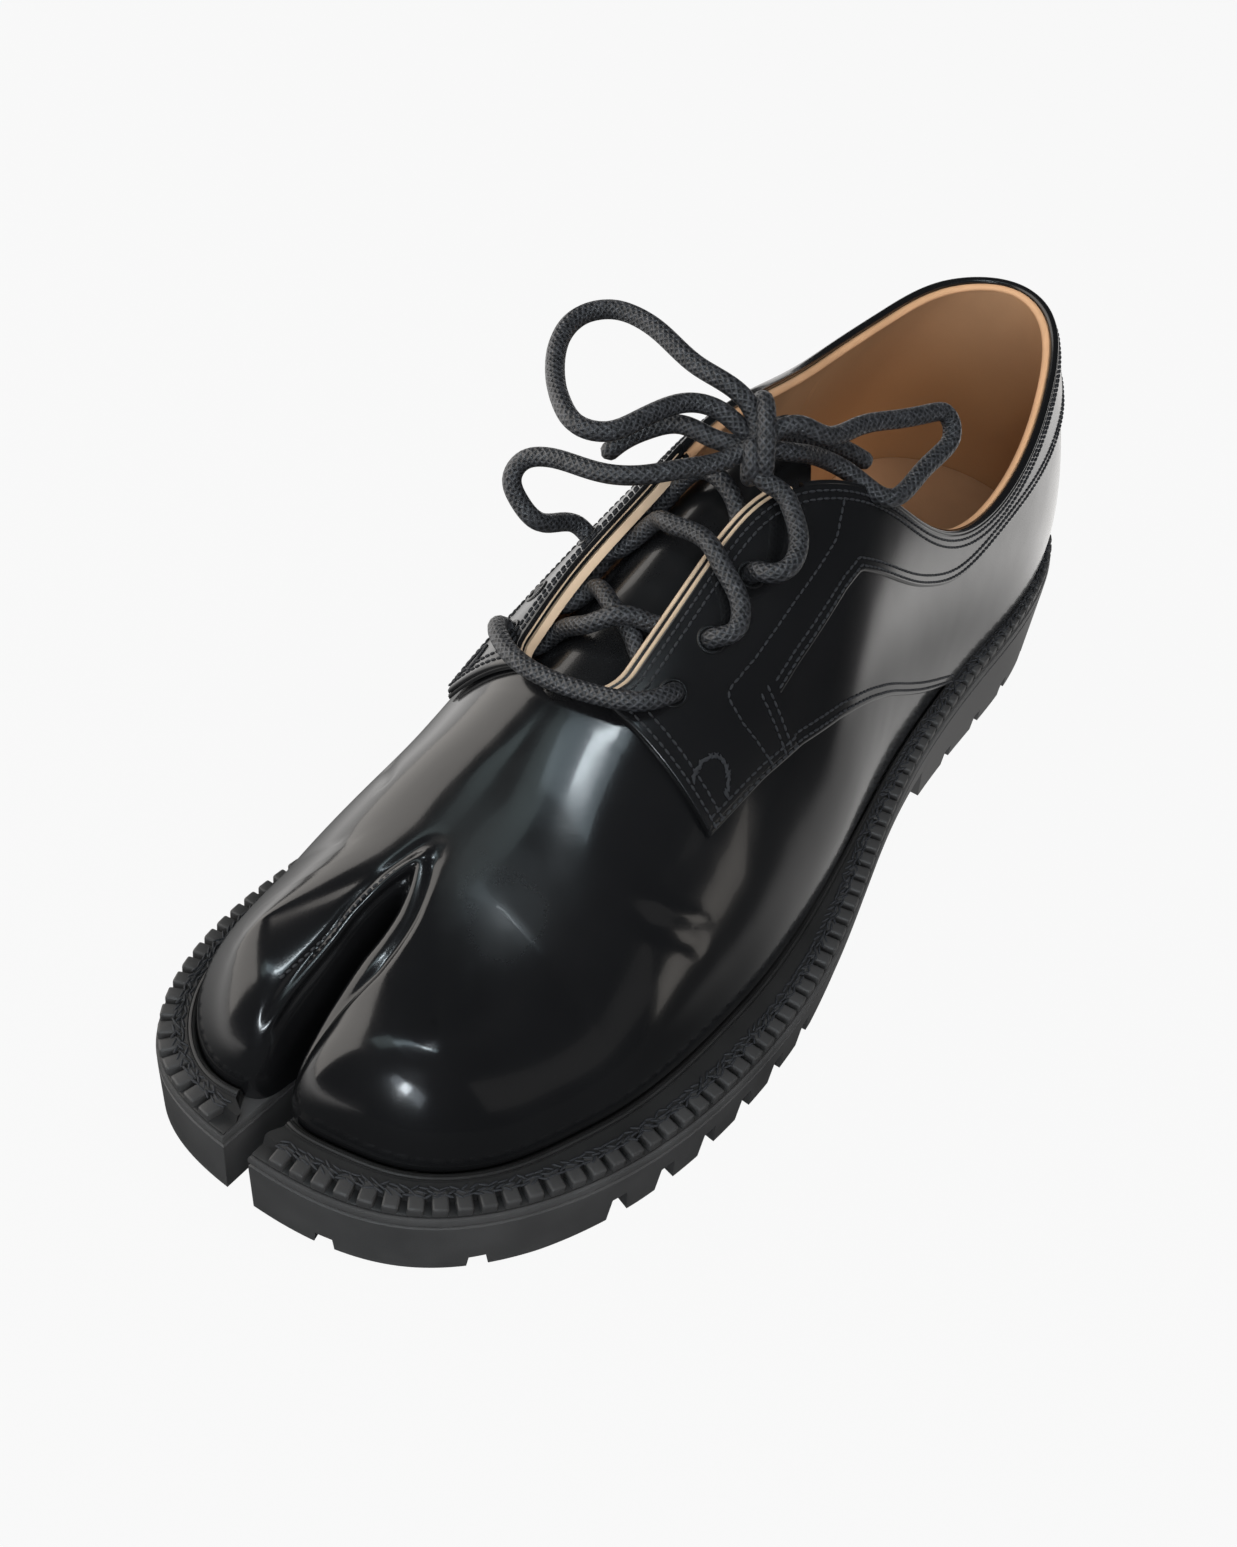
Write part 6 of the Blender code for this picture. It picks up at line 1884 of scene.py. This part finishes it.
class SHOE_OT_stage(bpy.types.Operator):
    """Set up the floor, the soft lights, the surroundings and the camera."""

    bl_idname = "shoe.stage"
    bl_label = "Stage"

    # name, what it shines on, bearing, height, distance,
    # size, turn, colour, power in watts, seen in reflections
    LIGHTS = (
        ("left_softbox", (-0.03, -0.09, 0.05), -75.0, 25.0, 1.2,
         (1.8, 1.1), 0.0, (1.0, 0.955, 0.905), 12.5, True),
        ("teal_panel", (-0.002, -0.085, 0.06), -30.0, 56.0, 1.2,
         (0.26, 0.3), 0.0, (0.78, 0.98, 1.0), 0.22, True),
        ("key_core", (0.007, -0.064, 0.073), 19.0, 66.0, 1.2,
         (0.25, 0.05), 0.0, (0.86, 0.95, 1.0), 1.1, True),
        ("key_halo", (0.007, -0.064, 0.073), 8.0, 65.5, 1.2,
         (0.76, 0.13), 0.0, (0.72, 0.9, 1.0), 0.9, True),
        ("front_core", (0.012, -0.128, 0.036), 18.0, 22.0, 1.2,
         (0.16, 0.12), -30.0, (0.88, 0.95, 1.0), 1.4, True),
        ("front_strip", (0.012, -0.128, 0.036), 19.5, 22.0, 1.2,
         (0.62, 0.16), -30.0, (0.8, 0.91, 1.0), 0.95, True),
        ("warm_panel", (0.039, -0.078, 0.04), 103.0, 6.0, 1.0,
         (0.24, 0.2), 0.0, (1.0, 0.94, 0.87), 0.17, True),
        ("right_haze", (0.03, -0.1, 0.04), 82.0, 18.0, 1.2,
         (0.5, 0.35), 0.0, (1.0, 0.96, 0.92), 0.085, True),
        ("fill", (0.0, -0.05, 0.03), 30.0, 35.0, 1.3,
         (1.2, 1.0), 0.0, (1.0, 1.0, 1.0), 10.0, False),
        ("collar_fill", (-0.02, 0.05, 0.08), 92.0, 52.0, 1.2,
         (0.5, 0.4), 0.0, (1.0, 0.98, 0.96), 6.0, False),
    )
    FLOOR_REACH = 6.0
    # Dark and bright tint of the floor's glow, a painted light seen in reflections and bounced onto the shoe
    FLOOR_DIM = (0.02, 0.021, 0.022)
    FLOOR_BRIGHT = (1.25, 1.23, 1.21)
    ROOM_DIM = (0.03, 0.032, 0.035)
    ROOM_PALE = (0.93, 0.93, 0.93)

    def floor(self):
        """Pale floor; to reflections and bounced light it glows as painted light, dark in front of the shoe
        and bright behind it and on its left.
        """
        made = Finish("studio_floor", Roughness=0.9, Specular_IOR_Level=0.0, Emission_Strength=1.0)
        made.feed(made.shader, "Base Color", (*shade(colour("floor"), 0.015), 1.0))
        made.feed(made.shader, "Emission Color", (*colour("floor"), 1.0))
        place = made.node("ShaderNodeSeparateXYZ", None, {"Vector": made.object_place()})
        side = Field(made.tree, place.outputs["X"])
        along = Field(made.tree, place.outputs["Y"])
        # Painted light: to every ray but the camera's the floor glows, bright behind the shoe and on its
        # left, dark in front
        beside = made.ramp(side, -0.02, 0.03) * (1.0 - made.ramp(side, 0.13, 0.24))
        behind = (made.ramp(along, -0.06, 0.02) * 0.32 + made.ramp(along, 0.105, 0.18) * 0.68) * beside
        left = made.ramp(side * -1.0, 0.04, 0.22)
        glow = made.mix(behind.most(left), self.FLOOR_DIM, self.FLOOR_BRIGHT)
        glowing_floor = made.node("ShaderNodeBsdfPrincipled", None,
                        {"Base Color": (0.03, 0.03, 0.03, 1.0), "Roughness": 0.9, "Specular IOR Level": 0.0,
                         "Emission Color": glow, "Emission Strength": 1.0})
        seen = made.node("ShaderNodeLightPath").outputs["Is Camera Ray"]
        parts = {0: seen, 1: glowing_floor.outputs[0], 2: made.shader.outputs[0]}
        both = made.node("ShaderNodeMixShader", None, parts)
        made.feed(made.tree.nodes["Material Output"], "Surface", both.outputs[0])
        mesh = bpy.data.meshes.new("studio_floor")
        corners = [(x * self.FLOOR_REACH, y * self.FLOOR_REACH, 0.0)
                   for x, y in ((-1, -1), (1, -1), (1, 1), (-1, 1))]
        mesh.from_pydata(corners, [], [(0, 1, 2, 3)])
        mesh.materials.append(made.material)
        floor = new_object("studio_floor", mesh)

    def surroundings(self):
        """Dim surroundings for the reflections, pale to the eye."""
        world = bpy.data.worlds.new("studio")
        world.use_nodes = True
        made = Nodes(world.node_tree)
        seen = made.node("ShaderNodeLightPath").outputs["Is Camera Ray"]
        made.feed(made.tree.nodes["Background"], "Color", made.mix(seen, self.ROOM_DIM, self.ROOM_PALE))
        bpy.context.scene.world = world

    def stand(self, made, aim, bearing, height, away, turn):
        """Put an object where it faces its aim; its bearing from the toe, height and turn are in degrees."""
        bearing, height, turn = (math.radians(v) for v in (bearing, height, turn))
        level = Vector((math.cos(bearing), math.sin(bearing), 0.0))
        back = Vector((level.y, -level.x, 0.0)) * math.cos(height) + Vector(UPWARD) * math.sin(height)
        side = level * math.cos(turn) + back.cross(level) * math.sin(turn)
        axes = Matrix((side, back.cross(side), back)).transposed()
        made.matrix_world = Matrix.Translation(Vector(aim) + back * away) @ axes.to_4x4()

    def lights(self):
        """Soft boxes, each turned to the shoe."""
        for name, aim, bearing, height, away, (across, up), turn, tint, watts, mirrored in self.LIGHTS:
            lamp = bpy.data.lights.new(name, "AREA")
            lamp.shape = "RECTANGLE"
            lamp.size = across
            lamp.size_y = up
            lamp.color = tint
            lamp.energy = watts
            made = new_object(name, lamp)
            made.visible_glossy = mirrored
            self.stand(made, aim, bearing, height, away, turn)

    def camera(self):
        """Camera in front of the toe and above it."""
        data = bpy.data.cameras.new("photo_camera")
        data.lens = CAMERA_LENS
        data.sensor_width = CAMERA_SENSOR
        data.clip_start = 0.01
        made = new_object("photo_camera", data)
        self.stand(made, CAMERA_TARGET, CAMERA_AZIMUTH, CAMERA_ELEVATION, CAMERA_DISTANCE, CAMERA_ROLL)
        bpy.context.scene.camera = made

    def execute(self, context):
        self.floor()
        self.surroundings()
        self.lights()
        self.camera()
        context.scene.view_settings.view_transform = "Standard"
        return {"FINISHED"}


class SHOE_PT_panel(bpy.types.Panel):
    """Sidebar panel with the shoe's sizes, colours and pieces."""

    bl_idname = "SHOE_PT_panel"
    bl_label = "Split toe shoe"
    bl_space_type = "VIEW_3D"
    bl_region_type = "UI"
    bl_category = "Shoe"

    def draw(self, context):
        layout = self.layout
        for group in (context.scene.shoe_sizes, context.scene.shoe_colours):
            box = layout.box()
            for name in group.__annotations__:
                box.prop(group, name)
        for operator in OPERATORS:
            layout.operator(operator.bl_idname)


OPERATORS = (
    SHOE_OT_stage,
    SHOE_OT_laces,
    SHOE_OT_outsole,
    SHOE_OT_welt,
    SHOE_OT_upper,
    SHOE_OT_lining,
    SHOE_OT_quarters,
    SHOE_OT_tongue,
    SHOE_OT_stitches,
)
CLASSES = (ShoeSizes, ShoeColours, *OPERATORS, SHOE_PT_panel)


def register():
    """Register the classes and their settings."""
    for made in CLASSES:
        bpy.utils.register_class(made)
    bpy.types.Scene.shoe_sizes = PointerProperty(type=ShoeSizes)
    bpy.types.Scene.shoe_colours = PointerProperty(type=ShoeColours)


def unregister():
    """Take the settings and the classes away."""
    del bpy.types.Scene.shoe_colours
    del bpy.types.Scene.shoe_sizes
    for made in reversed(CLASSES):
        bpy.utils.unregister_class(made)


def main():
    """Make every piece."""
    register()
    for operator in OPERATORS:
        group, name = operator.bl_idname.split(".")
        getattr(getattr(bpy.ops, group), name)()


if __name__ == "__main__":
    main()
